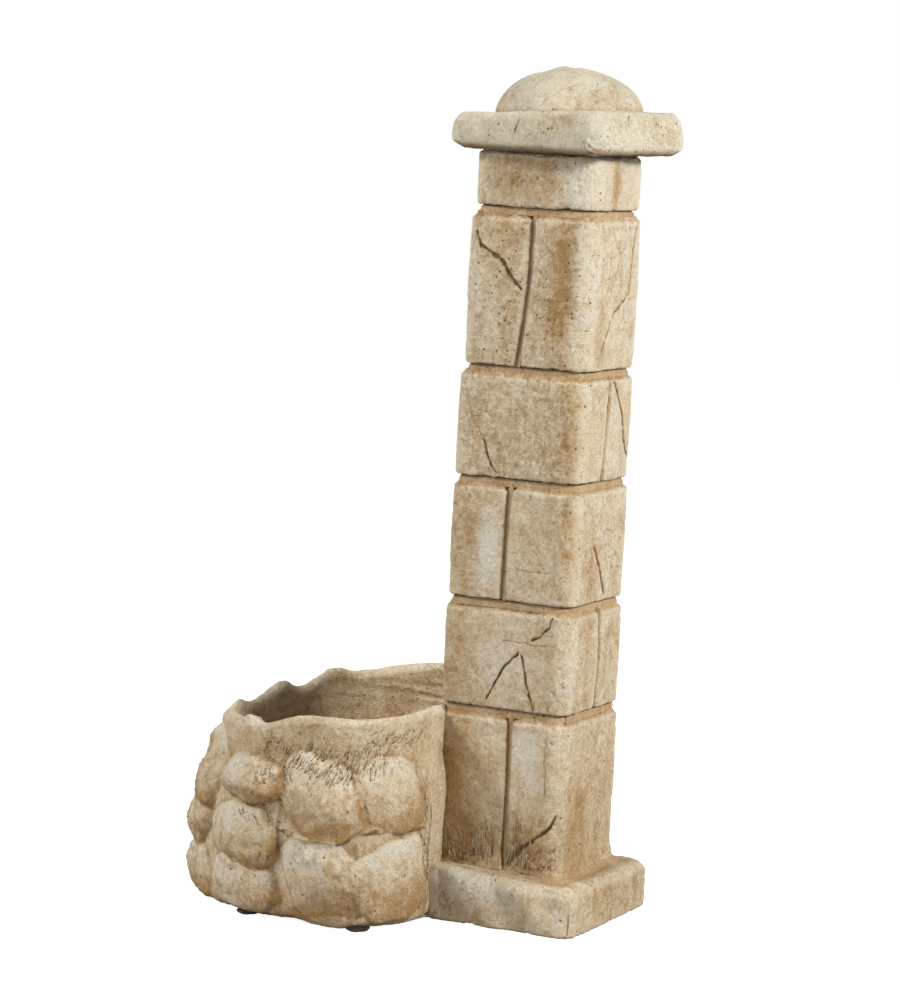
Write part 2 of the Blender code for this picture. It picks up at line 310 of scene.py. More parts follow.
def stone_finish(name, bump=0.0038, **amounts):
    """A material that wears the shared group with its own amounts."""
    material = bpy.data.materials.new(name)
    material.use_nodes = True
    tree = material.node_tree
    add = adder(tree)
    shader = tree.nodes["Principled BSDF"]
    shader.inputs["Specular IOR Level"].default_value = 0.25
    group = add("ShaderNodeGroup", node_tree=STONE_GROUP)
    for label, value in amounts.items():
        socket = group.inputs[label.replace("_", " ").capitalize()]
        socket.default_value = (*value, 1.0) if isinstance(value, tuple) else value
    relief = add("ShaderNodeBump", {"Height": group.outputs["Height"], "Distance": bump, "Strength": 1.0})
    tree.links.new(group.outputs["Colour"], shader.inputs["Base Color"])
    tree.links.new(group.outputs["Roughness"], shader.inputs["Roughness"])
    tree.links.new(relief.outputs["Normal"], shader.inputs["Normal"])
    return material


COURSE_FINISH = stone_finish("course_stone", wash_amount=0.34, lime_amount=0.35, pinholes=0.7)
CAP_FINISH = stone_finish("cap_stone", wash_amount=0.02, lime_amount=0.45, pinholes=0.5,
                          cream=(0.76, 0.70, 0.55))
BASIN_FINISH = stone_finish("basin_stone", wash_amount=0.38, lime_amount=0.32, pinholes=0.7)
MORTAR_FINISH = stone_finish(
    "tan_mortar", wash_amount=0.45, lime_amount=0.1, pinholes=0.3, cream=(0.70, 0.545, 0.35),
    tan_wash=(0.47, 0.30, 0.14)
)
PAD_FINISH = stone_finish(
    "white_mortar", wash_amount=-0.3, lime_amount=0.8, pinholes=0.1, cream=(0.72, 0.75, 0.78),
    lime=(0.78, 0.82, 0.88)
)
DAB_FINISH = stone_finish(
    "dark_mortar", wash_amount=0.9, lime_amount=0.0, cream=(0.10, 0.08, 0.06), tan_wash=(0.05, 0.04, 0.03)
)

# %% [markdown]
# ## Weathering, as one Geometry Nodes tree
# Every stone starts as a smooth closed shape and is weathered the same way, so one tree does it: it moves
# each point along its normal by a slow swell, by lumps where the stone is rough, and by chips along worn
# edges. It carves cracks too: a crack is a row of close points, each with its half width and depth, and
# the tree finds the nearest one. What it did is kept on the mesh as `recess` and `relief`, for the
# colour: a narrow crack gets painted shade (recess), and high lumps (relief) are painted paler, partly as
# painted light. Doing this once with named inputs keeps the stones alike in character and different in
# detail.

# %% The weathering tree
GEOMETRY, VECTOR, OBJECT, MATERIAL = (
    "NodeSocketGeometry", "NodeSocketVector", "NodeSocketObject", "NodeSocketMaterial"
)
NO_CRACK = (0.0, 0.0, 9.0)  # a point far from everything, so that the nearest crack point always exists


def named(add, name, data_type="FLOAT"):
    """A value that the mesh keeps at its points."""
    return add("GeometryNodeInputNamedAttribute", {"Name": name}, data_type=data_type).outputs["Attribute"]


def finish_tree(add, geometry, material, domain, values, offset=None):
    """Keeps values on the mesh for its colour, moves its points, and sets its material."""
    for name, value in values.items():
        inputs = {"Geometry": geometry, "Name": name, "Value": value}
        geometry = add("GeometryNodeStoreNamedAttribute", inputs, data_type="FLOAT",
                       domain=domain).outputs[0]
    if offset:
        geometry = add("GeometryNodeSetPosition", {"Geometry": geometry, "Offset": offset}).outputs[0]
    real = add("GeometryNodeRealizeInstances", {"Geometry": geometry}).outputs[0]
    done = add("GeometryNodeSetMaterial", {"Geometry": real, "Material": material}).outputs[0]
    add("NodeGroupOutput", {"Geometry": done})


def build_weathering():
    tree = new_group(
        "weathered_stone",
        "GeometryNodeTree",
        [
            ("Geometry", GEOMETRY, None),
            ("Cracks", OBJECT, None),
            ("Swell", FLOAT, 0.0012),
            ("Lumps", FLOAT, 0.0012),
            ("Grain", FLOAT, 0.0004),
            ("Chips", FLOAT, 0.0025),
            ("Seed", VECTOR, (0.0, 0.0, 0.0)),
            ("Material", MATERIAL, None),
        ],
        [("Geometry", GEOMETRY)],
    )
    add = adder(tree)
    sockets = add("NodeGroupInput").outputs
    here = add("GeometryNodeInputPosition").outputs[0]
    normal = add("GeometryNodeInputNormal").outputs[0]
    space = add("ShaderNodeVectorMath", {0: here, 1: sockets["Seed"]}, operation="ADD").outputs[0]

    def centred(scale, detail, roughness=0.55, distortion=0.0):
        value = noise_value(add, space, scale, detail, roughness, distortion)
        return maths(add, "MULTIPLY_ADD", value, 2.0, -1.0)

    rough = named(add, "rough")
    swell = maths(add, "MULTIPLY", centred(17, 2), sockets["Swell"])
    split = weigh_up(add, centred(62, 6, 0.72, 0.6), (centred(190, 3, 0.7, 0.8), 0.45))
    lumps = maths(add, "MULTIPLY", maths(add, "MULTIPLY", split, sockets["Lumps"]), rough)
    grain = maths(add, "MULTIPLY", centred(360, 2), sockets["Grain"])
    nicks = between(add, noise_value(add, space, 85, 4, 0.6), 0.52, 0.72)
    chips = maths(add, "MULTIPLY", maths(add, "MULTIPLY", nicks, named(add, "edge")), sockets["Chips"])

    # The nearest crack point, and how far down its side this point of the stone is.
    cracks = add("GeometryNodeObjectInfo", {"Object": sockets["Cracks"]}).outputs["Geometry"]
    nearest = add("GeometryNodeSampleNearest", {"Geometry": cracks}, domain="POINT").outputs["Index"]

    def from_crack(value, data_type):
        inputs = {"Geometry": cracks, "Value": value, "Index": nearest}
        return add("GeometryNodeSampleIndex", inputs, data_type=data_type).outputs[0]

    crack_place = from_crack(here, "FLOAT_VECTOR")
    reach = from_crack(named(add, "half_width"), "FLOAT")
    depth = from_crack(named(add, "depth"), "FLOAT")
    distance = add("ShaderNodeVectorMath", {0: here, 1: crack_place}, operation="DISTANCE").outputs["Value"]
    share = maths(add, "DIVIDE", distance, reach)
    carve = maths(add, "MULTIPLY", between(add, share, 1.5, 0.0), depth)

    outward = weigh_up(add, swell, (lumps, 1.0), (grain, 1.0), (chips, -1.0), (carve, -1.0))
    shift = add("ShaderNodeVectorMath", {0: normal, "Scale": outward}, operation="SCALE").outputs[0]

    relief = maths(add, "MULTIPLY", split, maths(add, "MULTIPLY_ADD", rough, 0.5, 0.35))
    relief = maths(add, "MULTIPLY_ADD", relief, 0.9, 0.5)
    carved = maths(add, "POWER", maths(add, "DIVIDE", carve, 0.0021, clamp=True), 1.2)
    narrow = maths(add, "POWER", maths(add, "DIVIDE", 0.0031, reach, clamp=True), 2.5)
    carved = maths(add, "MULTIPLY", carved, narrow)  # painted shade (recess) fills a narrow crack; a wide valley is carved but gets none
    recess = maths(add, "MAXIMUM", named(add, "recess"), maths(add, "MULTIPLY", carved, 0.95), clamp=True)
    values = {"relief": relief, "recess": recess}
    finish_tree(add, sockets["Geometry"], sockets["Material"], "POINT", values, shift)
    return tree


WEATHERING = build_weathering()
print("geometry tree", WEATHERING.name, len(WEATHERING.nodes), "nodes")

# %% [markdown]
# ## From a tree to a plain mesh
# A piece that is handed on has to be a plain mesh. Each piece is left as a plain mesh: the modifier is set
# by its sockets' identifiers, the object is evaluated once, and a new mesh made from the result takes its
# place.

# %% Apply a tree


def plain_mesh(piece, tree, **inputs):
    """Runs a Geometry Nodes tree on a piece, and leaves its result as a plain mesh."""
    modifier = piece.modifiers.new(tree.name, "NODES")
    modifier.node_group = tree
    for item in tree.interface.items_tree:
        key = item.name.lower().replace(" ", "_")
        if item.item_type == "SOCKET" and item.in_out == "INPUT" and key in inputs:
            modifier[item.identifier] = inputs[key]
    bpy.context.view_layer.update()
    graph = bpy.context.evaluated_depsgraph_get()
    mesh = bpy.data.meshes.new_from_object(piece.evaluated_get(graph), depsgraph=graph)
    piece.modifiers.clear()
    old = piece.data
    piece.data = mesh
    bpy.data.meshes.remove(old)
    mesh.name = piece.name
    mesh.polygons.foreach_set("use_smooth", [True] * len(mesh.polygons))


def new_piece(name, points, faces, values=None):
    """An object from points and faces, with named values at its points: a list of them, or one for all. A
    value that is left out is 0."""
    mesh = bpy.data.meshes.new(name)
    mesh.from_pydata([tuple(point) for point in points], [], faces)
    for label, numbers in (values or {}).items():
        layer = mesh.attributes.new(label, "FLOAT", "POINT")
        layer.data.foreach_set("value", np.zeros(len(points), np.float32) + np.asarray(numbers, np.float32))
    piece = bpy.data.objects.new(name, mesh)
    bpy.context.scene.collection.objects.link(piece)
    return piece


def triangles(piece):
    return sum(len(face.vertices) - 2 for face in piece.data.polygons)


print("helpers ready")

# %% [markdown]
# ## Cracks
# The mould was modelled with a few long cracks, and the cast has hairlines too. Each is drawn on its face
# with a few points: the helper runs a wandering line through them, and gives each close point a
# width and a depth that fade out at the ends.

# %% Crack lines
CRACK_STEP = 0.0006


def crack_line(points, half_width, depth, wander=0.0007, seed=1, fade_rate=12):
    """Close points along a path, as rows of x, y, z, half width and depth."""
    path = np.array(points, float)
    lengths = np.linalg.norm(np.diff(path, axis=0), axis=1)
    places = np.concatenate([[0.0], np.cumsum(lengths)])
    count = max(int(places[-1] / CRACK_STEP), 4)
    along = np.linspace(0, places[-1], count)
    line = np.stack([np.interp(along, places, path[:, axis]) for axis in range(3)], axis=1)
    window = np.hanning(max(int(0.008 / CRACK_STEP), 3))
    padded = np.pad(line, ((len(window) // 2, len(window) // 2), (0, 0)), mode="reflect",
                    reflect_type="odd")
    smooth = [np.convolve(padded[:, axis], window / window.sum(), mode="same") for axis in range(3)]
    line = np.stack(smooth, axis=1)[len(window) // 2 :][:count]
    dice = np.random.default_rng(seed)
    knots = max(int(places[-1] / 0.006), 3)
    share, knot_shares = np.linspace(0, 1, count), np.linspace(0, 1, knots)
    for axis in range(3):
        line[:, axis] += np.interp(share, knot_shares, dice.normal(0, wander, knots))
    fade = np.clip(np.minimum(share, 1 - share) * fade_rate + 0.35, 0, 1)
    uneven = np.interp(share, knot_shares, dice.uniform(0.7, 1.2, knots))
    return np.column_stack([line, half_width * fade * uneven, depth * fade * uneven])


def crack_cloud(name, lines):
    """One object that holds the points of several cracks."""
    rows = np.concatenate([np.array([[*NO_CRACK, 0.001, 0.0]])] + list(lines))
    cloud = new_piece(name, rows[:, :3], [], {"half_width": rows[:, 3], "depth": rows[:, 4]})
    cloud.hide_render = True
    return cloud


print("crack points lie", CRACK_STEP * 1000, "mm apart")

# %% [markdown]
# ## Block stones
# A cast block has flat faces that bulge a little, worn upright corners, and a softer edge on top than
# below. It is skinned over level rings: each ring is a rectangle with its own four corner radii, and the
# rings close in over the top and bottom edges. The faces that show get small steps, and those inside a
# joint get large ones, so that the detail goes where it is seen.

# %% Rings of a block
FINE, COARSE = 0.0019, 0.009  # metres between points on faces that show and on hidden ones


def block_outline(low, high, corners, steps):
    """A rectangle with rounded corners, from the +X face round by +Y. Gives points, and how near each is
    to a corner. corners are the radii at (+x,+y), (-x,+y), (-x,-y) and (+x,-y)."""
    points, nearness = [], []
    centres = ((high[0], high[1]), (low[0], high[1]), (low[0], low[1]), (high[0], low[1]))
    signs = ((-1, -1), (1, -1), (1, 1), (-1, 1))
    for side in range(4):
        radius = corners[side]
        centre = [centres[side][axis] + signs[side][axis] * radius for axis in (0, 1)]
        arc = max(int(radius * math.pi / 2 / min(steps[side], steps[(side + 1) % 4])), 3)
        for step in range(arc + 1):
            angle = (side + step / arc) * math.pi / 2
            points.append((centre[0] + radius * math.cos(angle), centre[1] + radius * math.sin(angle)))
            nearness.append(1.0)
        after = (side + 1) % 4
        next_radius = corners[after]
        next_centre = [centres[after][axis] + signs[after][axis] * next_radius for axis in (0, 1)]
        angle = (side + 1) * math.pi / 2
        goal = (
            next_centre[0] + next_radius * math.cos(angle),
            next_centre[1] + next_radius * math.sin(angle),
        )
        start = points[-1]
        length = math.dist(start, goal)
        count = max(int(length / steps[after]), 2)
        for step in range(1, count):
            share = step / count
            points.append(tuple(a + (b - a) * share for a, b in zip(start, goal)))
            nearness.append(max(0.0, 1 - min(share, 1 - share) * length / 0.007))
    return np.array(points), np.array(nearness)


def edge_profile(low, high, foot, head, step, cove):
    """Heights from the bottom to the top, how far each ring closes in, and how near it is to an edge. foot
    and head are each (height of the worn edge, how far it closes in). A coved head leaves an arris."""
    rows = []
    for share in np.linspace(0, 1, 5)[:-1]:
        rise, close = 1 - math.cos(share * math.pi / 2), 1 - math.sin(share * math.pi / 2)
        rows.append((low + foot[0] * rise, foot[1] * close))
    for z in np.linspace(low + foot[0], high - head[0],
                         max(int((high - low - foot[0] - head[0]) / step), 2)):
        rows.append((z, 0.0))
    for share in np.linspace(0, 1, 7)[1:]:
        if cove:
            rows.append((high - head[0] * (1 - share), head[1] * (1 - (1 - share) ** 1.7)))
        else:
            rise, close = 1 - math.sin(share * math.pi / 2), 1 - math.cos(share * math.pi / 2)
            rows.append((high - head[0] * rise, head[1] * close))
    heights = np.array([row[0] for row in rows])
    insets = np.array([row[1] for row in rows])
    if cove:
        near_top = 1 - np.abs(high - head[0] - heights) / 0.0055
    else:
        near_top = 1 - (high - head[0] * 0.5 - heights) / 0.007
    near_foot = 0.7 * (1 - (heights - low - foot[0] * 0.5) / 0.005)
    return heights, insets, np.clip(np.maximum(near_top, near_foot), 0, 1)


def skin(rings):
    """Quads between rings of equal length, with a flat face over both ends."""
    count, width = len(rings), len(rings[0])
    index = np.arange(count * width).reshape(count, width)
    following = np.roll(index, -1, axis=1)
    quads = np.stack([index[:-1], following[:-1], following[1:], index[1:]], axis=-1).reshape(-1, 4)
    faces = quads.tolist()
    faces.append(index[0][::-1].tolist())
    faces.append(index[-1].tolist())
    return np.concatenate(rings), faces


def block_rings(low, high, corners, steps, foot, head, ring_step=FINE, cove=False):
    """The rings of a block, each point's nearness to an edge, and the block's skin."""
    outline, corner_near = block_outline(low, high, corners, steps)
    middle = np.array([(low[0] + high[0]) / 2, (low[1] + high[1]) / 2])
    half = np.array([(high[0] - low[0]) / 2, (high[1] - low[1]) / 2])
    heights, insets, edge_near = edge_profile(low[2], high[2], foot, head, ring_step, cove)
    rings, edges = [], []
    closing = [(heights[0], insets[0] + 0.010, 0.0)] + list(zip(heights, insets, edge_near))
    closing.append((heights[-1], insets[-1] + 0.010, 0.0))
    for z, inset, near in closing:
        flat = middle + (outline - middle) * (1 - inset / half)
        rings.append(np.column_stack([flat, np.full(len(flat), z)]))
        edges.append(np.maximum(near, corner_near * 0.8) if near > 0 or inset == 0 else corner_near * 0.0)
    points, faces = skin(rings)
    return points, faces, np.concatenate(edges)


print("steps", FINE * 1000, "mm where it shows and", COARSE * 1000, "mm where hidden")

# %% [markdown]
# ## Brush hairs
# A stiff brush was dragged over the wet casting, and left bundles of thin ridges and scratches in the
# grooves and at the column's foot. Each bundle is a few points with a direction, and one Geometry Nodes
# tree puts a tapered sliver on every point. Some of the slivers are pale ridges, made paler by a painted
# highlight, and some are dark: painted shade that stands in for the shadow between the ridges.

# %% The brush-hair tree


def build_hairs():
    tree = new_group(
        "brush_hairs",
        "GeometryNodeTree",
        [
            ("Geometry", GEOMETRY, None),
            ("Width", FLOAT, 0.0008),
            ("Dark share", FLOAT, 0.5),
            ("Seed", "NodeSocketInt", 1),
            ("Material", MATERIAL, None),
        ],
        [("Geometry", GEOMETRY)],
    )
    add = adder(tree)
    sockets = add("NodeGroupInput").outputs
    along, out = (named(add, name, "FLOAT_VECTOR") for name in ("along", "out"))
    cone = {"Vertices": 5, "Side Segments": 2, "Fill Segments": 1, "Radius Top": 0.25,
            "Radius Bottom": 1.0, "Depth": 1.0}
    sliver = add("GeometryNodeMeshCone", cone).outputs["Mesh"]
    upright = add("FunctionNodeAlignRotationToVector", {"Vector": along}, axis="Z").outputs[0]
    facing = {"Rotation": upright, "Vector": out}
    turned = add("FunctionNodeAlignRotationToVector", facing, axis="X", pivot_axis="Z").outputs[0]
    length = add("ShaderNodeVectorMath", {0: along}, operation="LENGTH").outputs["Value"]
    width = maths(add, "MULTIPLY", named(add, "thick"), sockets["Width"])
    flattened = maths(add, "MULTIPLY", width, 0.8)
    scale = add("ShaderNodeCombineXYZ", {"X": flattened, "Y": width, "Z": length}).outputs[0]
    inputs = {"Points": sockets["Geometry"], "Instance": sliver, "Rotation": turned, "Scale": scale}
    hairs = add("GeometryNodeInstanceOnPoints", inputs).outputs[0]
    drawn = {2: 0.0, 3: 1.0, "Seed": sockets["Seed"]}
    chance = add("FunctionNodeRandomValue", drawn, data_type="FLOAT").outputs[1]
    is_dark = maths(add, "LESS_THAN", chance, sockets["Dark share"])
    # Painted shade: a dark sliver gets recess and a tan stain. Every sliver gets a high relief value, a
    # painted highlight that leaves the rest pale.
    values = {
        "recess": maths(add, "MULTIPLY", is_dark, 0.66),
        "stain": maths(add, "MULTIPLY_ADD", chance, -0.9, 0.90),
        "relief": 0.62,
    }
    finish_tree(add, hairs, sockets["Material"], "INSTANCE", values)
    return tree


HAIRS = build_hairs()


def add_hairs(piece, strands, width, seed, dark_share=0.5, free_way=None):
    """Lays strands (lists of points) on a finished piece as tapered slivers, and joins them to it. Free
    strands keep their own points, and face free_way."""
    surface = BVHTree.FromObject(piece, bpy.context.evaluated_depsgraph_get())
    bases, along, out, thick = [], [], [], []
    for strand in strands:
        spots = [Vector(spot) for spot in strand]
        laid = [(spot, Vector(free_way)) if free_way else surface.find_nearest(spot) for spot in spots]
        for number, (first, second) in enumerate(zip(laid[:-1], laid[1:])):
            bases.append(first[0] - first[1] * 0.0002)
            along.append((second[0] - first[0]) * 1.12)
            out.append(first[1])
            thick.append(1.0 - 0.6 * number / len(strand))
    hairs = new_piece(f"{piece.name}_hairs", bases, [], {"thick": thick})
    for label, rows in (("along", along), ("out", out)):
        layer = hairs.data.attributes.new(label, "FLOAT_VECTOR", "POINT")
        layer.data.foreach_set("vector", np.array(rows, np.float32).ravel())
    plain_mesh(hairs, HAIRS, width=width, seed=seed, dark_share=dark_share,
               material=piece.data.materials[0])
    both = [piece, hairs]
    with bpy.context.temp_override(active_object=piece, selected_editable_objects=both,
                                   selected_objects=both):
        bpy.ops.object.join()
    return len(bases)


print("geometry tree", HAIRS.name, len(HAIRS.nodes), "nodes")

# %% [markdown]
# ## The courses
# Six courses stand on the plinth. Five of them have an upright joint, across one way and then the other
# as bricklayers bond a pier, and those joints lean a little. What makes each course itself is kept in one
# table: its worn corners, how rough its faces are, and how its joint leans.

# %% What each course is like
# corner: radius of its worn upright corners. rough: its side faces (X) and its front and rear faces (Y).
# lean: how far its joint stands from its place at the foot, the middle and the top. gap: mortar set back.
COURSES = {
    "course_1": {"corner": 0.016, "rough": (0.45, 0.35), "lean": (0.0, 0.0005, -0.001), "gap": 0.0046},
    "course_2": {"corner": 0.018, "rough": (0.40, 0.35), "lean": (0.002, -0.002, 0.001), "gap": 0.0038},
    "course_3": {"corner": 0.020, "rough": (0.60, 0.35), "lean": (-0.001, -0.001, 0.001), "gap": 0.0046},
    "course_4": {"corner": 0.021, "rough": (1.30, 0.40), "lean": (0.006, 0.001, -0.006), "gap": 0.0036},
    "course_5": {"corner": 0.022, "rough": (1.05, 0.50), "lean": (-0.0065, 0.004, 0.0065), "gap": 0.0046},
    "course_6": {"corner": 0.026, "rough": (0.70, 0.30), "lean": (0.0, 0.0, 0.0), "gap": 0.0},
}
JOINT_FACES = {"front": 1, "rear": 3, "left": 0, "right": 2}  # which face of a stone lies in its joint
JOINT_CORNERS = {"front": 0.0030, "rear": 0.0060, "left": 0.0040, "right": 0.0040}
HEAD, FOOT = (0.0075, 0.0048), (0.0042, 0.0030)  # each (height, closing in)
ALL_FINE = (FINE, FINE, FINE, FINE)


def on_face(node, face, *spots):
    """Points on a stone's face, from (distance along it, height)."""
    low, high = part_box(node)
    wall = {"+X": high.x, "-X": low.x, "+Y": high.y, "-Y": low.y}[face]
    return [(wall, along, z) if face[1] == "X" else (along, wall, z) for along, z in spots]


print("courses", list(COURSES))

# %% [markdown]
# The cracks are drawn stone by stone, as (distance along the face, height). Those on the faces that were
# seen are placed one by one, and a few plainer ones carry on round the other two faces.

# %% Cracks in the courses
WIDE, MEDIUM, HAIR = (0.0029, 0.0034), (0.0021, 0.0024), (0.0013, 0.0011)  # (half width, depth)
CRACKS = {
    "course_5_front": [
        (WIDE, "+X", (-0.0741, 0.888), (-0.066, 0.871), (-0.0555, 0.8626), (-0.037, 0.8537)),
        (WIDE, "+X", (-0.037, 0.8537), (-0.022, 0.835), (-0.0035, 0.8138)),
        (MEDIUM, "-X", (-0.062, 0.905), (-0.050, 0.866), (-0.020, 0.842), (-0.008, 0.790)),
        (MEDIUM, "-Y", (0.055, 0.905), (0.040, 0.866), (0.012, 0.842), (0.002, 0.80), (-0.02, 0.76)),
    ],
    "course_5_rear": [
        (MEDIUM, "+Y", (-0.056, 0.905), (-0.050, 0.878), (-0.036, 0.815), (0.014, 0.783)),
        (MEDIUM, "+Y", (0.014, 0.783), (0.034, 0.748), (0.046, 0.720)),
    ],
    "course_4_right": [
        (HAIR, "+X", (-0.0815, 0.681), (-0.069, 0.669), (-0.0622, 0.6499), (-0.047, 0.624)),
        (MEDIUM, "+X", (-0.047, 0.624), (-0.0348, 0.5931), (-0.0254, 0.5780)),
    ],
    "course_4_left": [
        (WIDE, "+Y", (-0.0113, 0.702), (-0.026, 0.683), (-0.0427, 0.6565), (-0.047, 0.640)),
        (WIDE, "+Y", (-0.047, 0.640), (-0.0506, 0.6235), (-0.066, 0.603), (-0.081, 0.5886)),
        (MEDIUM, "-X", (0.05, 0.69), (0.03, 0.65), (0.028, 0.61), (0.012, 0.582)),
    ],
    "course_3_rear": [
        (HAIR, "+X", (0.008, 0.4585), (0.035, 0.4565), (0.062, 0.4580)),
        (HAIR, "+Y", (0.0043, 0.5534), (0.0111, 0.5216), (0.0292, 0.4960)),
        (WIDE, "+Y", (0.0285, 0.4950), (0.016, 0.479), (0.0008, 0.4583), (-0.018, 0.425)),
    ],
    "course_3_front": [
        (MEDIUM, "-Y", (0.030, 0.555), (0.022, 0.52), (-0.012, 0.49), (-0.020, 0.43)),
    ],
    "course_2_right": [
        (MEDIUM, "+X", (0.066, 0.4040), (0.0600, 0.3880), (0.050, 0.377), (0.036, 0.3690)),
        (MEDIUM, "+X", (-0.0240, 0.2850), (-0.012, 0.310), (0.006, 0.338), (0.0225, 0.3535)),
        (MEDIUM, "+X", (0.0240, 0.3520), (0.031, 0.325), (0.038, 0.300), (0.0460, 0.2790)),
        (HAIR, "+X", (-0.004, 0.3665), (0.030, 0.3655), (0.062, 0.3640)),
    ],
    "course_2_left": [
        (MEDIUM, "-X", (0.03, 0.400), (0.012, 0.362), (-0.024, 0.348), (-0.03, 0.29)),
    ],
    "course_1_rear": [
        (WIDE, "+X", (0.018, 0.0745), (0.038, 0.101), (0.072, 0.1253), (0.0890, 0.1500)),
        (HAIR, "+X", (0.066, 0.2500), (0.067, 0.210), (0.0695, 0.168)),
        (HAIR, "+Y", (0.006, 0.2432), (0.020, 0.200), (0.033, 0.162), (0.047, 0.125)),
        (MEDIUM, "-X", (0.085, 0.155), (0.060, 0.128), (0.034, 0.108), (0.020, 0.080)),
    ],
}

dice = random.Random(7)


def foot_strands(node):
    """Long hairs up both side faces from the column's foot, which fan out as they rise."""
    strands = []
    low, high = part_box(node)
    for face in ("+X", "-X"):
        for place in np.arange(-0.078, 0.090, 0.0017):
            y = place + dice.uniform(-0.0008, 0.0008)
            if not low.y + 0.002 < y < high.y - 0.008:
                continue
            top = 0.108 + 0.036 * math.sin((y + 0.05) * 26) ** 2 + dice.uniform(-0.024, 0.014)
            lean = (y - 0.015) * 0.16 + dice.uniform(-0.002, 0.002)
            start = dice.uniform(0.0665, 0.078)
            steps = []
            for share in np.linspace(0, 1, 5):
                steps.append((y + lean * share**1.6 + dice.uniform(-0.0005, 0.0005),
                              start + (top - start) * share))
            strands.append(on_face(node, face, *steps))
    return strands


def cracks_of(node):
    lines = []
    for number, (size, face, *spots) in enumerate(CRACKS.get(node, [])):
        lines.append(crack_line(on_face(node, face, *spots), *size, seed=len(node) + number))
    return lines


print("hand-drawn cracks", sum(len(lines) for lines in CRACKS.values()))

# %% [markdown]
# Stains are soft patches with a place, a reach along each axis and a strength: above 0 tan, below 0 lime.
# Where a crack runs, its points are laid on the mesh, and the mesh is cut finer before it is carved, so
# that the crack is as deep as it was drawn and keeps a clean edge.

# %% Stains, finer steps and the finished stone
STAINS = {
    "course_1_front": [
        ((0.09, -0.07, 0.16), (0.05, 0.035, 0.13), 0.75),
        ((0.09, -0.01, 0.10), (0.05, 0.05, 0.04), 0.4),
        ((0.09, -0.01, 0.24), (0.03, 0.02, 0.03), -0.3),
    ],
    "course_1_rear": [
        ((0.09, 0.035, 0.225), (0.03, 0.022, 0.035), -0.9),
        ((0.09, 0.05, 0.18), (0.03, 0.016, 0.03), -0.5),
        ((0.09, 0.05, 0.08), (0.04, 0.06, 0.045), 0.55),
        ((0.03, 0.09, 0.15), (0.03, 0.03, 0.08), 0.35),
    ],
    "course_2_right": [
        ((0.09, -0.075, 0.34), (0.04, 0.02, 0.08), 0.6),
        ((0.09, 0.0, 0.33), (0.03, 0.04, 0.04), -0.45),
        ((0.03, 0.09, 0.34), (0.012, 0.03, 0.08), 0.3),
    ],
    "course_3_front": [((0.09, -0.030, 0.48), (0.03, 0.014, 0.045), -1.0),
                       ((0.09, -0.075, 0.49), (0.04, 0.02, 0.08), 0.5)],
    "course_3_rear": [
        ((0.09, 0.080, 0.49), (0.03, 0.014, 0.06), 0.75),
        ((0.09, 0.04, 0.47), (0.03, 0.03, 0.03), -0.2),
        ((0.03, 0.09, 0.45), (0.02, 0.03, 0.04), 0.4),
    ],
    "course_4_right": [((0.085, 0.075, 0.63), (0.03, 0.013, 0.07), 0.9),
                       ((0.09, -0.06, 0.63), (0.03, 0.03, 0.05), 0.15)],
    "course_4_left": [((-0.02, 0.09, 0.64), (0.02, 0.03, 0.05), -0.2),
                      ((-0.07, 0.09, 0.66), (0.02, 0.03, 0.04), 0.3)],
    "course_5_front": [((0.085, -0.03, 0.88), (0.04, 0.05, 0.03), 0.25),
                       ((0.085, -0.05, 0.78), (0.04, 0.04, 0.03), -0.15)],
    "course_5_rear": [
        ((0.085, 0.050, 0.83), (0.03, 0.017, 0.09), 0.85),
        ((0.085, 0.082, 0.80), (0.03, 0.012, 0.07), -0.35),
        ((0.05, 0.09, 0.75), (0.03, 0.03, 0.05), 0.35),
    ],
    "course_6_block": [
        ((0.085, -0.03, 0.96), (0.03, 0.06, 0.04), 0.40),
        ((0.082, 0.060, 0.955), (0.02, 0.022, 0.04), -0.6),
        ((0.015, 0.09, 0.955), (0.012, 0.03, 0.06), 0.9),
    ],
    # Painted light: the large lime patch on the side next to the basin lifts the shadow that the basin
    # casts there.
    "plinth": [((0.13, 0.10, 0.03), (0.02, 0.05, 0.02), -0.2),
               ((0.13, -0.02, 0.05), (0.02, 0.07, 0.03), -0.7)],
}


def stain_values(points, patches):
    total = np.zeros(len(points))
    for centre, reach, strength in patches:
        apart = (points - np.array(centre)) / np.array(reach)
        total += strength * np.exp(-(apart**2).sum(axis=1) * 1.2)
    return total


def cut_finer(piece, lines, reach=0.0042):
    """Halves the faces that lie near a crack."""
    spots = np.concatenate(lines)[:, :3]
    tree = kdtree.KDTree(len(spots))
    for number, spot in enumerate(spots):
        tree.insert(spot, number)
    tree.balance()
    low, high = spots.min(0) - reach, spots.max(0) + reach
    bm = bmesh.new()
    bm.from_mesh(piece.data)
    chosen = set()
    for face in bm.faces:
        centre = face.calc_center_median()
        inside = all(low[axis] <= centre[axis] <= high[axis] for axis in range(3))
        if inside and len(face.verts) == 4 and tree.find(centre)[2] < reach:
            chosen.update(face.edges)
    bmesh.ops.subdivide_edges(bm, edges=list(chosen), cuts=1, use_grid_fill=True)
    bm.to_mesh(piece.data)
    bm.free()


def onto_surface(piece, lines):
    """Moves crack points onto the piece."""
    skin_tree = BVHTree.FromObject(piece, bpy.context.evaluated_depsgraph_get())
    for line in lines:
        for row in line:
            row[:3] = skin_tree.find_nearest(Vector(row[:3]))[0]
    return lines


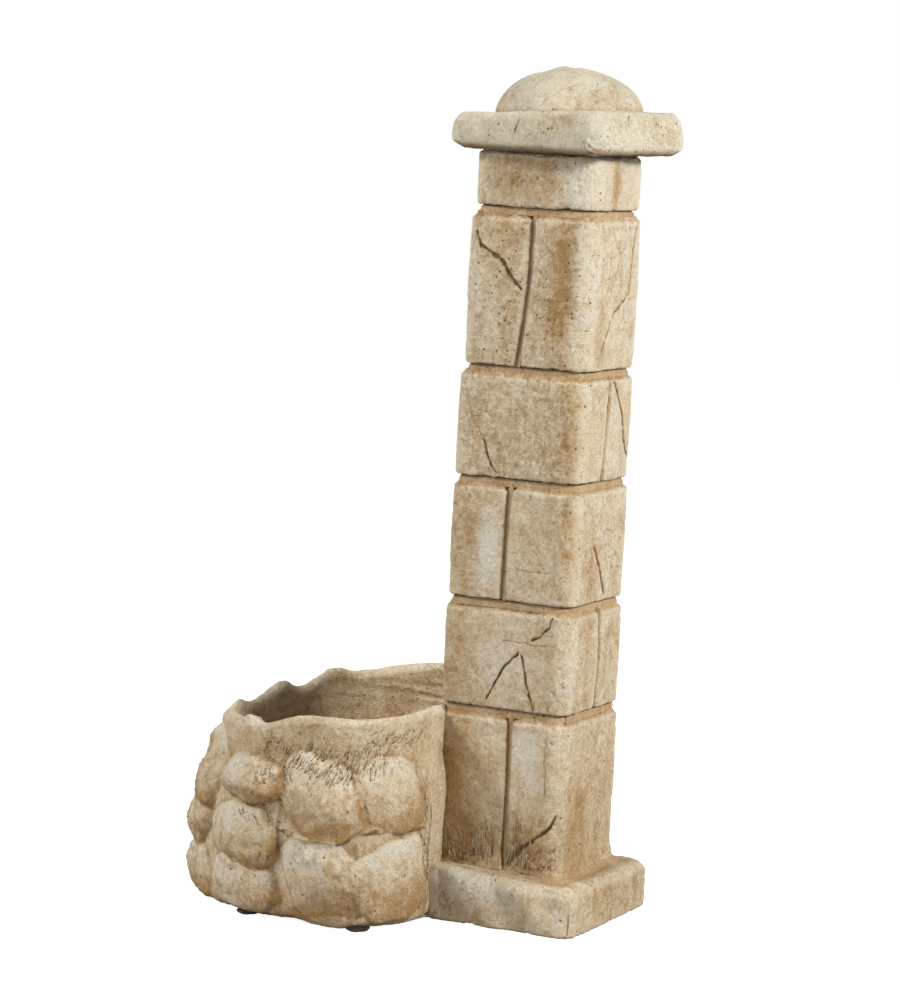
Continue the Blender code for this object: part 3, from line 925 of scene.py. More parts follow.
def weather(piece, seed, material, lines=(), **amounts):
    """Cuts the piece finer along its cracks, weathers it, and leaves a plain mesh with its material."""
    if lines:
        lines = onto_surface(piece, lines)
        cut_finer(piece, lines)
    cloud = crack_cloud(f"{piece.name}_cracks", lines)
    dice = random.Random(seed)
    offset = tuple(dice.uniform(-5, 5) for _ in range(3))
    plain_mesh(piece, WEATHERING, cracks=cloud, seed=offset, material=material, **amounts)
    bpy.data.objects.remove(cloud, do_unlink=True)
    piece.data.materials.clear()
    piece.data.materials.append(material)


def hand_over(piece, slot, *nodes):
    """The last step for every piece: it rides on the body and stands for its nodes, which are hidden. slot
    is not used.
    """
    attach(piece, "root")
    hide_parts(*nodes)


def joint_lean(course, z, low, high):
    """How far a course's joint stands off its place at a height."""
    return np.interp((z - low) / (high - low), (0.0, 0.5, 1.0), COURSES[course]["lean"])


def lean_stone(points, node, face, course):
    """Moves a stone's joint face with the joint, and its far face not at all."""
    low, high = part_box(node)
    axis = 1 if face in (1, 3) else 0
    joint = high[axis] if face in (0, 1) else low[axis]
    far = low[axis] if face in (0, 1) else high[axis]
    share = np.clip((points[:, axis] - far) / (joint - far), 0, 1)
    points[:, axis] += joint_lean(course, points[:, 2], low.z, high.z) * share


def make_stone(node, seed):
    course = node[:8]
    kind = COURSES[course]
    low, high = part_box(node)
    joint_face = JOINT_FACES.get(node[9:])
    corners = [kind["corner"]] * 4
    steps = list(ALL_FINE)
    if joint_face is not None:
        corners[joint_face] = corners[joint_face - 1] = JOINT_CORNERS[node[9:]]
        steps[joint_face] = COARSE
    foot = (0.0006, 0.0) if node.startswith("course_1") else FOOT
    head = (0.0030, 0.0022) if node.startswith("course_6") else HEAD
    points, faces, edges = block_rings(low, high, corners, steps, foot, head, cove=True)
    middle, half = (np.array(low) + np.array(high)) / 2, (np.array(high) - np.array(low)) / 2
    inside = np.abs(points - middle) / half
    sideways = np.clip((inside[:, 0] - inside[:, 1]) * 3 + 0.5, 0, 1)
    rough = kind["rough"][0] * sideways + kind["rough"][1] * (1 - sideways)
    # Faces bulge a little, and the column's foot spreads over the plinth.
    bulge = 0.0010 * (1 - inside[:, 2] ** 2)
    spread = 0.0045 * np.clip(1 - (points[:, 2] - low.z) / 0.030, 0, 1) ** 2 * node.startswith("course_1")
    for axis in (0, 1):
        outwards = np.sign(points[:, axis] - middle[axis])
        points[:, axis] += outwards * (bulge * (inside[:, axis] > 0.9) + spread * (inside[:, axis] > 0.85))
    # The arris under the head wanders, and the underside's edge and the joint's sides get painted shade
    # (recess).
    where = points[:, 0] * 1.7 + points[:, 1] + seed
    wander = 0.0011 * np.sin(where * 71) + 0.0008 * np.sin(where * 167 + 1) + 0.0005 * np.sin(where * 390)
    arris = high.z - head[0]
    band = np.clip(1 - np.abs(arris - points[:, 2]) / 0.009, 0, 1) * (high.z - points[:, 2] > 0.0008)
    points[:, 2] += wander * band
    under = np.clip(1 - (points[:, 2] - low.z) / 0.0045, 0, 1) * (not node.startswith("course_1"))
    over = np.clip((points[:, 2] - high.z + head[0]) / 0.003, 0, 1)
    recess = under**1.5 * 0.5
    stain = stain_values(points, STAINS.get(node, [])) + over * 0.45 - 0.30 * (1 - sideways) * points[:, 2]
    stain = stain + 0.40 * np.clip(1 - points[:, 2] / 0.26, 0, 1)
    if joint_face is not None:
        axis = 1 if joint_face in (1, 3) else 0
        face_at = high[axis] if joint_face in (0, 1) else low[axis]
        close = np.clip(1 - np.abs(points[:, axis] - face_at) / 0.0035, 0, 1)
        # Painted shadow of the basin on this stone: darker towards the basin (recess).
        if node == "course_1_front":
            recess = np.maximum(recess, np.clip((-0.058 - points[:, 1]) / 0.022, 0, 1) * 0.5)
        recess = np.maximum(recess, close * (0.30 if kind["gap"] > 0.0042 else 0.25))
        edges = edges * (1 - close)
        lean_stone(points, node, joint_face, course)
    edges = edges * (1 - over * 0.8)
    values = {"edge": edges, "rough": rough, "recess": recess, "stain": stain}
    piece = new_piece(f"stone_{node}", points, faces, values)
    weather(piece, seed, COURSE_FINISH, cracks_of(node), swell=0.0018, lumps=0.0026, grain=0.0004,
            chips=0.0030)
    if node.startswith("course_1"):
        print(node, "hairs", add_hairs(piece, foot_strands(node), 0.00120, seed))
    hand_over(piece, "cast_stone", node)
    return piece


course_nodes = sorted(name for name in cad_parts
                      if name.startswith("course_") and not name.endswith("_joint"))
stones = {node: make_stone(node, seed) for seed, node in enumerate(course_nodes)}
print("stones", len(stones), "triangles", sum(triangles(stone) for stone in stones.values()))

# %% [markdown]
# ## The plinth
# One block with softer edges than the column's stones, because the mould was open underneath and everyone's
# shoes and mowers meet it.

# %% Plinth
low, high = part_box("plinth")
points, faces, edges = block_rings(low, high, (0.020,) * 4, ALL_FINE, (0.006, 0.004), (0.016, 0.013),
                                   0.0023)
rise = np.clip((0.085 - points[:, 1]) / 0.13, 0, 1) * np.clip((np.abs(points[:, 0]) - 0.094) / 0.012, 0, 1)
points[:, 2] += 0.0085 * rise**1.3 * np.clip((points[:, 2] - 0.030) / 0.03, 0, 1)
waves = 0.0022 * np.sin(points[:, 1] * 31 + points[:, 0] * 14)
waves += 0.0016 * np.sin(points[:, 1] * 83 + points[:, 2] * 60)
points[:, 0] += np.sign(points[:, 0]) * waves * (np.abs(points[:, 0]) > high.x - 0.006)
# Painted shade (recess) along the foot, where the plinth meets the floor.
below = np.clip(1 - points[:, 2] / 0.006, 0, 1)
values = {
    "edge": edges,
    "rough": np.full(len(points), 0.85),
    "recess": below * 0.6,
    "stain": stain_values(points, STAINS["plinth"]) + 0.1,
}
plinth = new_piece("plinth_block", points, faces, values)
weather(plinth, 40, COURSE_FINISH, swell=0.0026, lumps=0.0018, grain=0.0004, chips=0.0030)
hand_over(plinth, "cast_stone", "plinth")
print("plinth", triangles(plinth), "triangles")

# %% [markdown]
# ## Mortar beds and joints
# The mortar was pressed in and struck with a sloping stroke: deep under the upper stone, where it gets
# painted shade, and nearly flush over the lower one, where it is tan. Each bed is a closed band skinned
# over a few rings. An upright joint is a narrow strip that leans with its stones.

# %% Mortar
BED_SEED, JOINT_SEED = 60, 146
# share of the height (or, below 0, metres under it), how far inside the stones' faces, and how much
# painted shade
BED_SLOPE = (
    (-0.0035, 0.0030, 0.0), (-0.0015, 0.0032, 0.0), (0.0, 0.0034, 0.0), (0.25, 0.0037, 0.0),
    (0.5, 0.0042, 0.05), (0.70, 0.0049, 0.20), (0.86, 0.0058, 0.65), (1.04, 0.0070, 0.90),
)


def face_range(level):
    """The lowest and highest corners of all the stones of a course."""
    lows, highs = zip(*[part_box(name) for name in course_nodes if name.startswith(level)])
    lowest = [min(low[axis] for low in lows) for axis in range(3)]
    return lowest, [max(high[axis] for high in highs) for axis in range(3)]


# bed: (face, start and end along it, spacing, length) of the hairs that bridge its groove
BRUSHED = {
    2: [("+X", -0.066, 0.086, 0.0022, 0.013), ("-X", -0.066, 0.086, 0.0032, 0.009),
        ("+Y", 0.02, 0.08, 0.0045, 0.008)],
    3: [("+X", -0.060, 0.012, 0.0022, 0.013), ("+X", 0.040, 0.080, 0.0020, 0.014),
        ("-X", -0.05, 0.03, 0.0035, 0.009)],
    4: [("+X", -0.050, 0.060, 0.0040, 0.009), ("-X", -0.02, 0.05, 0.0050, 0.008)],
    5: [("+X", -0.070, 0.080, 0.0055, 0.008), ("-X", -0.02, 0.05, 0.0050, 0.008)],
}


def groove_strands(low, high, face, start, end, spacing, reach):
    """Short hairs from under the upper stone to the lower stone's face, and the way they face."""
    strands = []
    wall, sign = {"+X": (high.x, 1), "-X": (low.x, -1), "+Y": (high.y, 1)}[face]
    for place in np.arange(start, end, spacing):
        at, top = place + dice.uniform(-0.001, 0.001), high.z - dice.uniform(0.0005, 0.002)
        length, lean = reach * dice.uniform(0.7, 1.3), dice.uniform(-0.003, 0.003)
        strand = []
        for share, inset in ((0.0, 0.0052), (0.5, 0.0026), (1.0, -0.0003)):
            level = (wall - sign * inset, at + lean * share)
            strand.append((*(level if face[1] == "X" else level[::-1]), top - length * share))
        strands.append(strand)
    return strands, (sign, 0, 0) if face[1] == "X" else (0, sign, 0)


def make_bed(number):
    low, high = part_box(f"bed_{number}")
    upper_low, upper_high = face_range(f"course_{number}")
    lower_low, lower_high = face_range(f"course_{max(number - 1, 1)}")
    first_low = [max(a, b) for a, b in zip(upper_low[:2], lower_low[:2])]
    first_high = [min(a, b) for a, b in zip(upper_high[:2], lower_high[:2])]
    radius = COURSES[f"course_{number}"]["corner"]
    outline, _ = block_outline(first_low, first_high, (radius,) * 4, (0.0028,) * 4)
    middle = (np.array(first_low) + np.array(first_high)) / 2
    half = (np.array(first_high) - np.array(first_low)) / 2
    rings, recess = [], []
    for share, inset, dark in BED_SLOPE:
        z = low.z + (share * (high.z - low.z) if share >= 0 else share)
        if number == 1:  # the foot of the column is coved out over the plinth
            inset = -0.0044 - 0.0085 * (1 - min(max(share, 0), 1)) ** 2.0
            dark = 0.0
            z = low.z - 0.0020 if share < 0 else z
        flat = middle + (outline - middle) * (1 - inset / half)
        rings.append(np.column_stack([flat, np.full(len(outline), z)]))
        recess.append(np.full(len(outline), dark))
    points, faces = skin(rings)
    values = {"rough": 0.5, "recess": np.concatenate(recess) * 0.8, "stain": 0.2}
    piece = new_piece(f"mortar_bed_{number}", points, faces, values)
    weather(piece, BED_SEED + number, MORTAR_FINISH, swell=0.0008, lumps=0.0016, grain=0.0004, chips=0.0)
    for run in BRUSHED.get(number, []):
        strands, way = groove_strands(low, high, *run)
        print("bed", number, "hairs",
              add_hairs(piece, strands, 0.0010, number, dark_share=0.7, free_way=way))
    hand_over(piece, "recessed_mortar", f"bed_{number}")
    return piece


def make_joint(number):
    """The upright mortar between two stones: a strip that leans with them."""
    course = f"course_{number}"
    node = f"{course}_joint"
    low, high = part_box(node)
    stone_low, stone_high = face_range(course)
    across_y = (high.y - low.y) < (high.x - low.x)
    gap = COURSES[course]["gap"]
    start, end = list(low), list(high)
    run, thin = (0, 1) if across_y else (1, 0)
    start[run], end[run] = stone_low[run] + gap, stone_high[run] - gap
    start[thin], end[thin] = low[thin] - 0.0012, high[thin] + 0.0012
    steps = (0.0015, COARSE, 0.0015, COARSE) if across_y else (COARSE, 0.0015, COARSE, 0.0015)
    points, faces, _ = block_rings(start, end, (0.0012,) * 4, steps, (0.0005, 0.0003), (0.0005, 0.0003),
                                   0.0030)
    # its face slopes: deeper along the front or left stone than along the other
    share = (points[:, thin] - start[thin]) / (end[thin] - start[thin])
    from_middle = points[:, run] - (start[run] + end[run]) / 2
    showing = np.abs(from_middle) > (end[run] - start[run]) / 2 - 0.004
    points[:, run] += np.sign(from_middle) * (share - 0.45) * 0.0045 * showing
    points[:, thin] += joint_lean(course, points[:, 2], low.z, high.z)
    # Painted shade in the joint (recess), darker along its deeper side.
    dark = 0.24 if gap > 0.0042 else 0.22
    values = {"rough": 0.4, "recess": dark * (1.25 - share), "stain": 0.2}
    piece = new_piece(f"mortar_{node}", points, faces, values)
    weather(piece, JOINT_SEED + number, MORTAR_FINISH, swell=0.0006, lumps=0.0010, grain=0.0003, chips=0.0)
    hand_over(piece, "recessed_mortar", node)
    return piece


beds = [make_bed(number) for number in range(1, 7)]
joints = [make_joint(number) for number in range(1, 6)]
print("mortar triangles", sum(triangles(piece) for piece in beds + joints))

# %% [markdown]
# ## The cap
# The cap lies a little askew and tips towards the basin. It is a slab with an undercut lower edge, a low
# dome that was patted on by hand, and a thin pad of white mortar under both. The slab and the dome are
# made level and square first, and laid askew in their meshes afterwards, as a mason would make them on
# the bench.

# %% The cap's lie
CAP_TURN, CAP_TILT = math.radians(-6.6), math.radians(2.4)
slab_low, slab_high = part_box("cap_slab")
pad_low, pad_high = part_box("cap_pad")
slab_middle = (slab_low + slab_high) / 2
SLAB_SIDE, SLAB_HEIGHT = 0.224, 0.049
cap_base = Vector((slab_middle.x, slab_middle.y, (slab_low.z + slab_high.z) / 2 - SLAB_HEIGHT / 2))
cap_turned = Matrix.Rotation(CAP_TILT, 4, "X") @ Matrix.Rotation(CAP_TURN, 4, "Z")
CAP_LIE = Matrix.Translation(cap_base) @ cap_turned


def lay(points):
    """Puts bench coordinates where the cap lies."""
    turn = np.array(CAP_LIE.to_3x3())
    return points @ turn.T + np.array(CAP_LIE.translation)


def lay_line(points, *size, seed):
    return crack_line(lay(np.array(points)), *size, seed=seed)


print("cap base at", [round(value, 4) for value in cap_base])

# %% [markdown]
# The slab's side leans in below its widest height. The corner nearest the column's rear has lost a flake:
# the points within reach of a sloping plane are pushed back to it.

# %% Slab
# share of the height from the underside, how far it stands back
SLAB_SIDE_SHAPE = (
    (0.0, 0.0125), (0.05, 0.0085), (0.13, 0.0030), (0.20, 0.0006), (0.34, 0.0), (0.55, 0.0008),
    (0.78, 0.0032), (0.92, 0.0070), (1.0, 0.0115),
)
SLAB_RINGS = 26
outline, corner_near = block_outline(
    (-SLAB_SIDE / 2, -SLAB_SIDE / 2), (SLAB_SIDE / 2, SLAB_SIDE / 2), (0.013, 0.014, 0.016, 0.012), ALL_FINE
)
rings, edges = [], []
shares = np.linspace(0, 1, SLAB_RINGS)
insets = np.interp(shares, *zip(*SLAB_SIDE_SHAPE))
flats = [(0.0, inset) for inset in np.arange(0.080, 0.012, -0.0035)]
tops = [(1.0, inset) for inset in np.arange(0.0140, 0.080, 0.0030)]
for share, inset in flats + list(zip(shares, insets)) + tops:
    shrink = 1 - inset / (SLAB_SIDE / 2)
    crown = 0.0030 * (1 - shrink) if share == 1.0 else 0.0
    rings.append(np.column_stack([outline * shrink, np.full(len(outline), share * SLAB_HEIGHT + crown)]))
    near_edge = max(0.0, 1 - abs(share - 0.97) / 0.10, 0.7 - abs(share - 0.12) / 0.2)
    edges.append(np.maximum(near_edge, corner_near * 0.8) * (inset < 0.02))
points, faces = skin(rings)
# The slab is a little thinner towards the basin, and a flake is gone from the near corner.
aft, up = np.clip(points[:, 1] / 0.112, -1, 1), points[:, 2] / SLAB_HEIGHT
lip = np.clip((np.abs(points[:, :2]).max(axis=1) - 0.086) / 0.014, 0, 1)
points[:, 2] += (1 - up) * (-0.0030 - 0.0054 * aft) * lip + up * (-0.0023 + 0.0016 * aft)
flake_way = np.array((0.70, 0.62, -0.35))
flake_way /= np.linalg.norm(flake_way)
beyond = points @ flake_way - 0.1330
points -= np.outer(np.clip(beyond, 0, 0.010) * 0.85, flake_way)
laid = lay(points)
# The undercut lower edge faces down and gets painted shade: recess, and tan in the stain value.
under = np.clip(1 - up / 0.16, 0, 1) ** 0.7
SLAB_STAINS = (
    ((0.10, 0.095, 1.02), (0.03, 0.02, 0.02), -0.5), ((0.03, 0.11, 1.03), (0.04, 0.04, 0.02), -0.1),
    ((0.135, 0.0, 1.04), (0.03, 0.13, 0.03), 0.60)
)
stain = stain_values(laid, SLAB_STAINS) + under
values = {"edge": np.concatenate(edges), "rough": 0.4, "recess": under * 0.85, "stain": stain}
slab = new_piece("cap_slab_stone", laid, faces, values)
half = SLAB_SIDE / 2
slab_cracks = [
    lay_line([(half, -0.007, 0.043), (half, -0.009, 0.032), (half, -0.013, 0.020)], 0.0015, 0.0018, seed=3),
    lay_line([(0.026, half - 0.004, 0.0465), (0.034, half, 0.040), (0.037, half, 0.028)], 0.0015, 0.0018,
             seed=4),
    lay_line([(half - 0.004, 0.088, 0.012), (half - 0.012, 0.092, 0.004), (half - 0.02, 0.1, 0.001)],
             0.0012, 0.0012, seed=5),
    lay_line([(-half, 0.03, 0.044), (-half, 0.022, 0.030), (-half, 0.026, 0.018)], 0.0015, 0.0016, seed=6),
]
weather(slab, 31, CAP_FINISH, slab_cracks, swell=0.0020, lumps=0.0016, grain=0.0003, chips=0.0035)
hand_over(slab, "cast_stone", "cap_slab")
print("slab", triangles(slab), "triangles")

# %% [markdown]
# The dome is turned over level rings from a curve, then its outline is made uneven with a few soft bumps: a
# peak a little off the middle, a dip beside it, and the crease where two handfuls met.

# %% Dome
DOME_RADIUS, DOME_RISE, AROUND = 0.095, 0.056, 220
# (x, y, reach, height) in bench coordinates
DOME_BUMPS = (
    (-0.004, -0.012, 0.016, 0.0060), (0.006, 0.020, 0.018, 0.0030), (0.000, 0.004, 0.012, -0.0026),
    (0.040, -0.045, 0.026, 0.0022), (-0.045, 0.030, 0.028, 0.0026), (-0.030, -0.040, 0.030, -0.0020),
)


def round_ring(turns, radius, z):
    """A level ring of points. Its radius may be one number, or one for each turn."""
    return np.column_stack([np.cos(turns) * radius, np.sin(turns) * radius, np.full(len(turns), z)])


turns = np.linspace(0, 2 * math.pi, AROUND, endpoint=False)
rings = [round_ring(turns, 0.070, SLAB_HEIGHT - 0.0045)]
for angle in np.linspace(0, math.pi / 2 * 0.985, 52):
    radius = DOME_RADIUS * math.cos(angle) ** 0.94
    z = SLAB_HEIGHT - 0.0035 + DOME_RISE * math.sin(angle) ** 1.06
    ripple = 1 + 0.012 * np.sin(turns * 3 + 0.7) + 0.008 * np.sin(turns * 5 + 2.1)
    rings.append(round_ring(turns, radius * ripple, z))
points, faces = skin(rings)
raised = np.clip((points[:, 2] - SLAB_HEIGHT) / 0.02, 0, 1)
for x, y, reach, height in DOME_BUMPS:
    apart = np.hypot(points[:, 0] - x, points[:, 1] - y)
    points[:, 2] += height * np.exp(-((apart / reach) ** 2)) * raised
# Painted shade at the dome's foot, where it meets the slab: recess, and tan in the stain value.
foot_near = np.clip(1 - (points[:, 2] - SLAB_HEIGHT) / 0.006, 0, 1)
laid = lay(points)
DOME_STAINS = (
    ((0.05, -0.045, 1.056), (0.05, 0.03, 0.012), 0.45), ((0.06, 0.05, 1.055), (0.04, 0.04, 0.012), 0.3),
    ((0.03, -0.02, 1.08), (0.03, 0.03, 0.012), -0.35)
)
stain = stain_values(laid, DOME_STAINS) + foot_near * 0.2
dome = new_piece("cap_dome_stone", laid, faces, {"rough": 0.6, "recess": foot_near * 0.35, "stain": stain})


def on_dome(*bearings):
    """Points on the dome, from bearings (degrees round from +X, share of the way up)."""
    spots = []
    for bearing, share in bearings:
        angle, turn = share * math.pi / 2, math.radians(bearing)
        radius = DOME_RADIUS * math.cos(angle) ** 0.86
        z = SLAB_HEIGHT + DOME_RISE * math.sin(angle) ** 1.06
        spots.append((radius * math.cos(turn), radius * math.sin(turn), z))
    return spots


dome_cracks = [
    lay_line(on_dome((6, 0.05), (14, 0.2), (28, 0.38), (50, 0.50)), 0.0022, 0.0011, seed=11),
    lay_line(on_dome((52, 0.36), (64, 0.20), (74, 0.04)), 0.0020, 0.0009, seed=12),
    lay_line(on_dome((190, 0.05), (205, 0.25), (225, 0.42)), 0.0018, 0.0016, seed=13),
]
weather(dome, 32, CAP_FINISH, dome_cracks, swell=0.0022, lumps=0.0016, grain=0.0003, chips=0.0)
hand_over(dome, "cast_stone", "cap_dome")
print("dome", triangles(dome), "triangles")

# %% [markdown]
# The pad is what squeezed out when the cap was set down: a thin band with a wavy rim, level below and
# tipped with the slab above.

# %% Pad
outline, _ = block_outline((pad_low.x, pad_low.y), (pad_high.x, pad_high.y), (0.012,) * 4, (0.0025,) * 4)
middle = np.array([(pad_low.x + pad_high.x) / 2, (pad_low.y + pad_high.y) / 2])
places = np.arange(len(outline))
wave = 1 + 0.006 * np.sin(places * 0.21) + 0.005 * np.sin(places * 0.093 + 1)
# share of the height, how far inside the outline
PAD_SECTION = ((0.0, 0.0050), (0.0, 0.0012), (0.2, 0.0), (0.8, -0.0003), (1.0, 0.0010), (1.0, 0.0050))
rings = []
for share, inset in PAD_SECTION:
    flat = middle + (outline - middle) * (1 - inset / 0.08) * wave[:, None]
    under_slab = cap_base.z + 0.0006 + (flat[:, 1] - cap_base.y) * (math.tan(CAP_TILT) - 0.030)
    floor_z = pad_low.z - 0.0004
    rings.append(np.column_stack([flat, floor_z + share * np.maximum(under_slab - floor_z, 0.0015)]))
points, faces = skin(rings)
pad = new_piece("cap_pad_mortar", points, faces, {"rough": 0.5})
weather(pad, 33, PAD_FINISH, swell=0.0008, lumps=0.0008, grain=0.0002, chips=0.0)
hand_over(pad, "pale_mortar", "cap_pad")
print("pad", triangles(pad), "triangles")

# %% [markdown]
# ## The basin
# One casting: a round bowl whose outside was modelled as rough rocks laid in three rows, under a hollow
# band and a scalloped rim. A bowl follows a rule, so it is skinned over rings that go round it, and each
# ring is one step of a section: out along the underside, up the outside, over the rim, down the inside
# and in across the floor. Every rock is then a soft-edged mound on that surface, and where two meet a
# crease is left.

# %% The bowl's plan and rim
HALF_WIDTH, MIDDLE_Y, FRONT_REACH, BACK_REACH = 0.272, -0.180, 0.262, 0.137
BOWL_FOOT = 0.0035
FLOOR_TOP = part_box("basin_floor")[1].z
# The rim's height round the bowl: degrees from +X towards the front, and metres.
RIM = (
    (-90, 0.276), (-46, 0.271), (-36, 0.268), (-21, 0.268), (-6, 0.264), (4, 0.264), (9, 0.261),
    (14, 0.254), (20, 0.244), (28, 0.239), (36, 0.241), (46, 0.240), (56, 0.236), (64, 0.233),
    (71, 0.236), (77, 0.235), (86, 0.227), (95, 0.240), (102, 0.247), (108, 0.240), (113, 0.231),
    (119, 0.246), (126, 0.258), (132, 0.255), (137, 0.252), (144, 0.258), (155, 0.265), (166, 0.271),
    (180, 0.273), (226, 0.275), (270, 0.276),
)
# How far the outside stands off the plan, up its height, in the mortar behind the rocks.
# where the rim's outer edge stands off the plan, and its rounding's height
CREST, RIM_ROUND = -0.0335, 0.010
OUTSIDE = (
    (0.0, -0.010), (0.05, -0.006), (0.12, -0.007), (0.45, -0.009), (0.60, -0.013), (0.70, -0.020),
    (0.78, -0.0285), (0.84, -0.0325), (0.90, -0.0325), (1.0, CREST),
)


def plan_points(turns, offset):
    """Points at the turns (radians, from +X towards the front), moved outwards by offset."""

    def at(angle):
        cosine, sine = np.cos(angle), np.sin(angle)
        reach = np.where(sine > 0, FRONT_REACH, BACK_REACH)
        power = np.where(sine > 0, 2.3, 3.0)
        radius = (np.abs(cosine / HALF_WIDTH) ** power + np.abs(sine / reach) ** power) ** (-1 / power)
        return np.stack([radius * cosine, MIDDLE_Y - radius * sine], axis=-1)

    along = at(turns + 0.01) - at(turns - 0.01)
    outward = np.stack([-along[..., 1], along[..., 0]], axis=-1)
    outward /= np.linalg.norm(outward, axis=-1, keepdims=True)
    return at(turns) + outward * np.asarray(offset)[..., None]


def smooth_curve(places, table, blur):
    """Reads a table with rounded corners, by averaging it a little to both sides."""
    xs, ys = zip(*table)
    shifts = np.linspace(-1, 1, 9) * blur
    return np.mean([np.interp(places + shift, xs, ys) for shift in shifts], axis=0)


print("rim from", min(z for _, z in RIM), "to", max(z for _, z in RIM), "m")

# %% [markdown]
# The rocks on the side that was seen are placed one by one. The other side repeats them in mirror image,
# each moved and turned a little by a seeded random number, and a few more fill the front.

# %% The rocks
# (degrees round, height of the middle, half its length, half its height, lean in degrees, how far it stands
# out, how square, how steep its edge)
SEEN_ROCKS = [
    (-3.5, 0.166, 0.060, 0.050, 4, 0.0165, 2.8, 3.2),
    (-27.5, 0.173, 0.052, 0.047, -3, 0.0135, 3.0, 2.4),
    (21.5, 0.174, 0.055, 0.031, -9, 0.0340, 2.3, 4.8),
    (22.5, 0.102, 0.060, 0.042, -10, 0.0240, 2.6, 3.2),
    (21.0, 0.038, 0.056, 0.035, -6, 0.0180, 2.8, 2.6),
    (-4.0, 0.060, 0.064, 0.053, 3, 0.0165, 2.8, 2.6),
    (-27.5, 0.062, 0.055, 0.053, -2, 0.0130, 3.0, 2.2),
    (47.5, 0.172, 0.052, 0.046, 14, 0.0210, 2.6, 3.0),
    (51.0, 0.100, 0.055, 0.038, -5, 0.0200, 2.6, 3.0),
    (48.0, 0.040, 0.058, 0.033, 4, 0.0170, 2.8, 2.6),
    (73.0, 0.160, 0.052, 0.040, -6, 0.0190, 2.6, 3.0),
    (77.0, 0.082, 0.060, 0.042, 5, 0.0190, 2.8, 2.8),
]
dice = random.Random(21)
MIRRORED = []
for turn, z, long, tall, lean, proud, square, steep in SEEN_ROCKS:
    nudge = dice.uniform(-2.5, 2.5)
    shape = (long * dice.uniform(0.92, 1.06), tall * dice.uniform(0.94, 1.05), -lean + dice.uniform(-4, 4))
    MIRRORED.append((180 - turn + nudge, z + dice.uniform(-0.004, 0.004), *shape, proud, square, steep))
FRONT_ROCKS = [(100.0, 0.030, 0.050, 0.028, 3, 0.0160, 2.8, 2.6),
               (76.0, 0.024, 0.045, 0.022, -3, 0.0150, 2.8, 2.6)]
ROCKS = SEEN_ROCKS + MIRRORED + FRONT_ROCKS


def facets_of(turn, z):
    """Six planes that cut a rock: (bearing, how far out it starts, how steeply it falls)."""
    dice = random.Random(int(turn * 10) + int(z * 1000))
    start = dice.uniform(0, 6.3)
    planes = []
    for number in range(6):
        bearing = start + number * 1.05 + dice.uniform(-0.35, 0.35)
        planes.append((bearing, dice.uniform(0.98, 1.30), dice.uniform(0.45, 1.25)))
    return planes


def rock_height(turns, heights):
    """How far the rocks stand out at each point, how near it is to a rock's edge, and how tan it is, as
    painted light and shade: a rock is painted pale on top, as if lit from above, and darker under its belly
    and on one side, as if in shade."""
    out = np.zeros(np.broadcast(turns, heights).shape)
    crease = np.ones_like(out)
    rock_light_and_shade = np.zeros_like(out)
    for turn, z, long, tall, lean, proud, square, steep in ROCKS:
        apart = (turns - math.radians(turn) + math.pi) % (2 * math.pi) - math.pi
        run, rise = apart * 0.255, heights - z
        cosine, sine = math.cos(math.radians(lean)), math.sin(math.radians(lean))
        a = (run * cosine + rise * sine) / long
        b = (rise * cosine - run * sine) / tall
        # no rock is a perfect oval
        a = a + 0.12 * np.sin(b * 2.6 + turn) + 0.05 * np.sin(b * 7.0 + turn * 2)
        b = b + 0.10 * np.sin(a * 3.1 + z * 90) + 0.04 * np.sin(a * 8.0 + z * 40)
        q = (np.abs(a) ** square + np.abs(b) ** square) ** (1 / square)
        # the underside is undercut, and the top runs out softly into the stone above
        sharp = steep * (1.15 - 0.55 * np.clip(b / np.maximum(q, 0.01), -1, 1))
        body = np.clip(1 - q**sharp, 0, 1) ** 0.55 * 1.04
        planes = [body]
        for way, start, slope in facets_of(turn, z):
            planes.append(start - slope * (a * math.cos(way) + b * math.sin(way)))
        height = -np.log(sum(np.exp(-9 * plane) for plane in planes)) / 9
        stand = proud * np.clip(height + 0.02, 0, 1.1) * (q < 1)
        rock_light_and_shade = np.where(stand > out, 0.05 - 0.70 * np.clip(b, -1, 1) - 0.18 * np.clip(a, -1, 1), rock_light_and_shade)
        out = np.maximum(out, stand)
        crease = np.minimum(crease, np.clip(np.abs(q - 1) / 0.12, 0, 1) + np.where(q > 1, 0.0, 0.35))
    return out, crease, rock_light_and_shade


print("rocks", len(ROCKS))

# %% [markdown]
# The steps round the bowl are finer where rocks catch the light from the side, and its inside needs fewer.

# %% Skin the bowl
FINE_FROM, FINE_TO = math.radians(-50), math.radians(85)
turns = np.concatenate([
    np.linspace(math.radians(-90), FINE_FROM, 32, endpoint=False),
    np.linspace(FINE_FROM, FINE_TO, 236, endpoint=False),
    np.linspace(FINE_TO, math.radians(270), 190, endpoint=False),
])
degrees = np.degrees(turns)
rim = smooth_curve(degrees, RIM, 4.5)
OUTER_ROWS, RIM_ROWS, INNER_ROWS = 88, 12, 40
rings, rows = [], {"recess": [], "edge": [], "rough": [], "stain": []}


def add_ring(offset, z, recess=0.0, edge=0.0, rough=0.5, stain=0.0):
    flat = plan_points(turns, np.broadcast_to(offset, turns.shape))
    rings.append(np.column_stack([flat, np.broadcast_to(z, turns.shape)]))
    for name, value in (("recess", recess), ("edge", edge), ("rough", rough), ("stain", stain)):
        rows[name].append(np.broadcast_to(value, turns.shape))


# The underside gets painted shade (recess).
for inset in (0.110, 0.075, 0.045, 0.028, 0.018):
    add_ring(-inset, BOWL_FOOT + 0.001, recess=0.4)
foot_wave = 0.0014 * np.sin(turns * 9) + 0.0010 * np.sin(turns * 17 + 1)
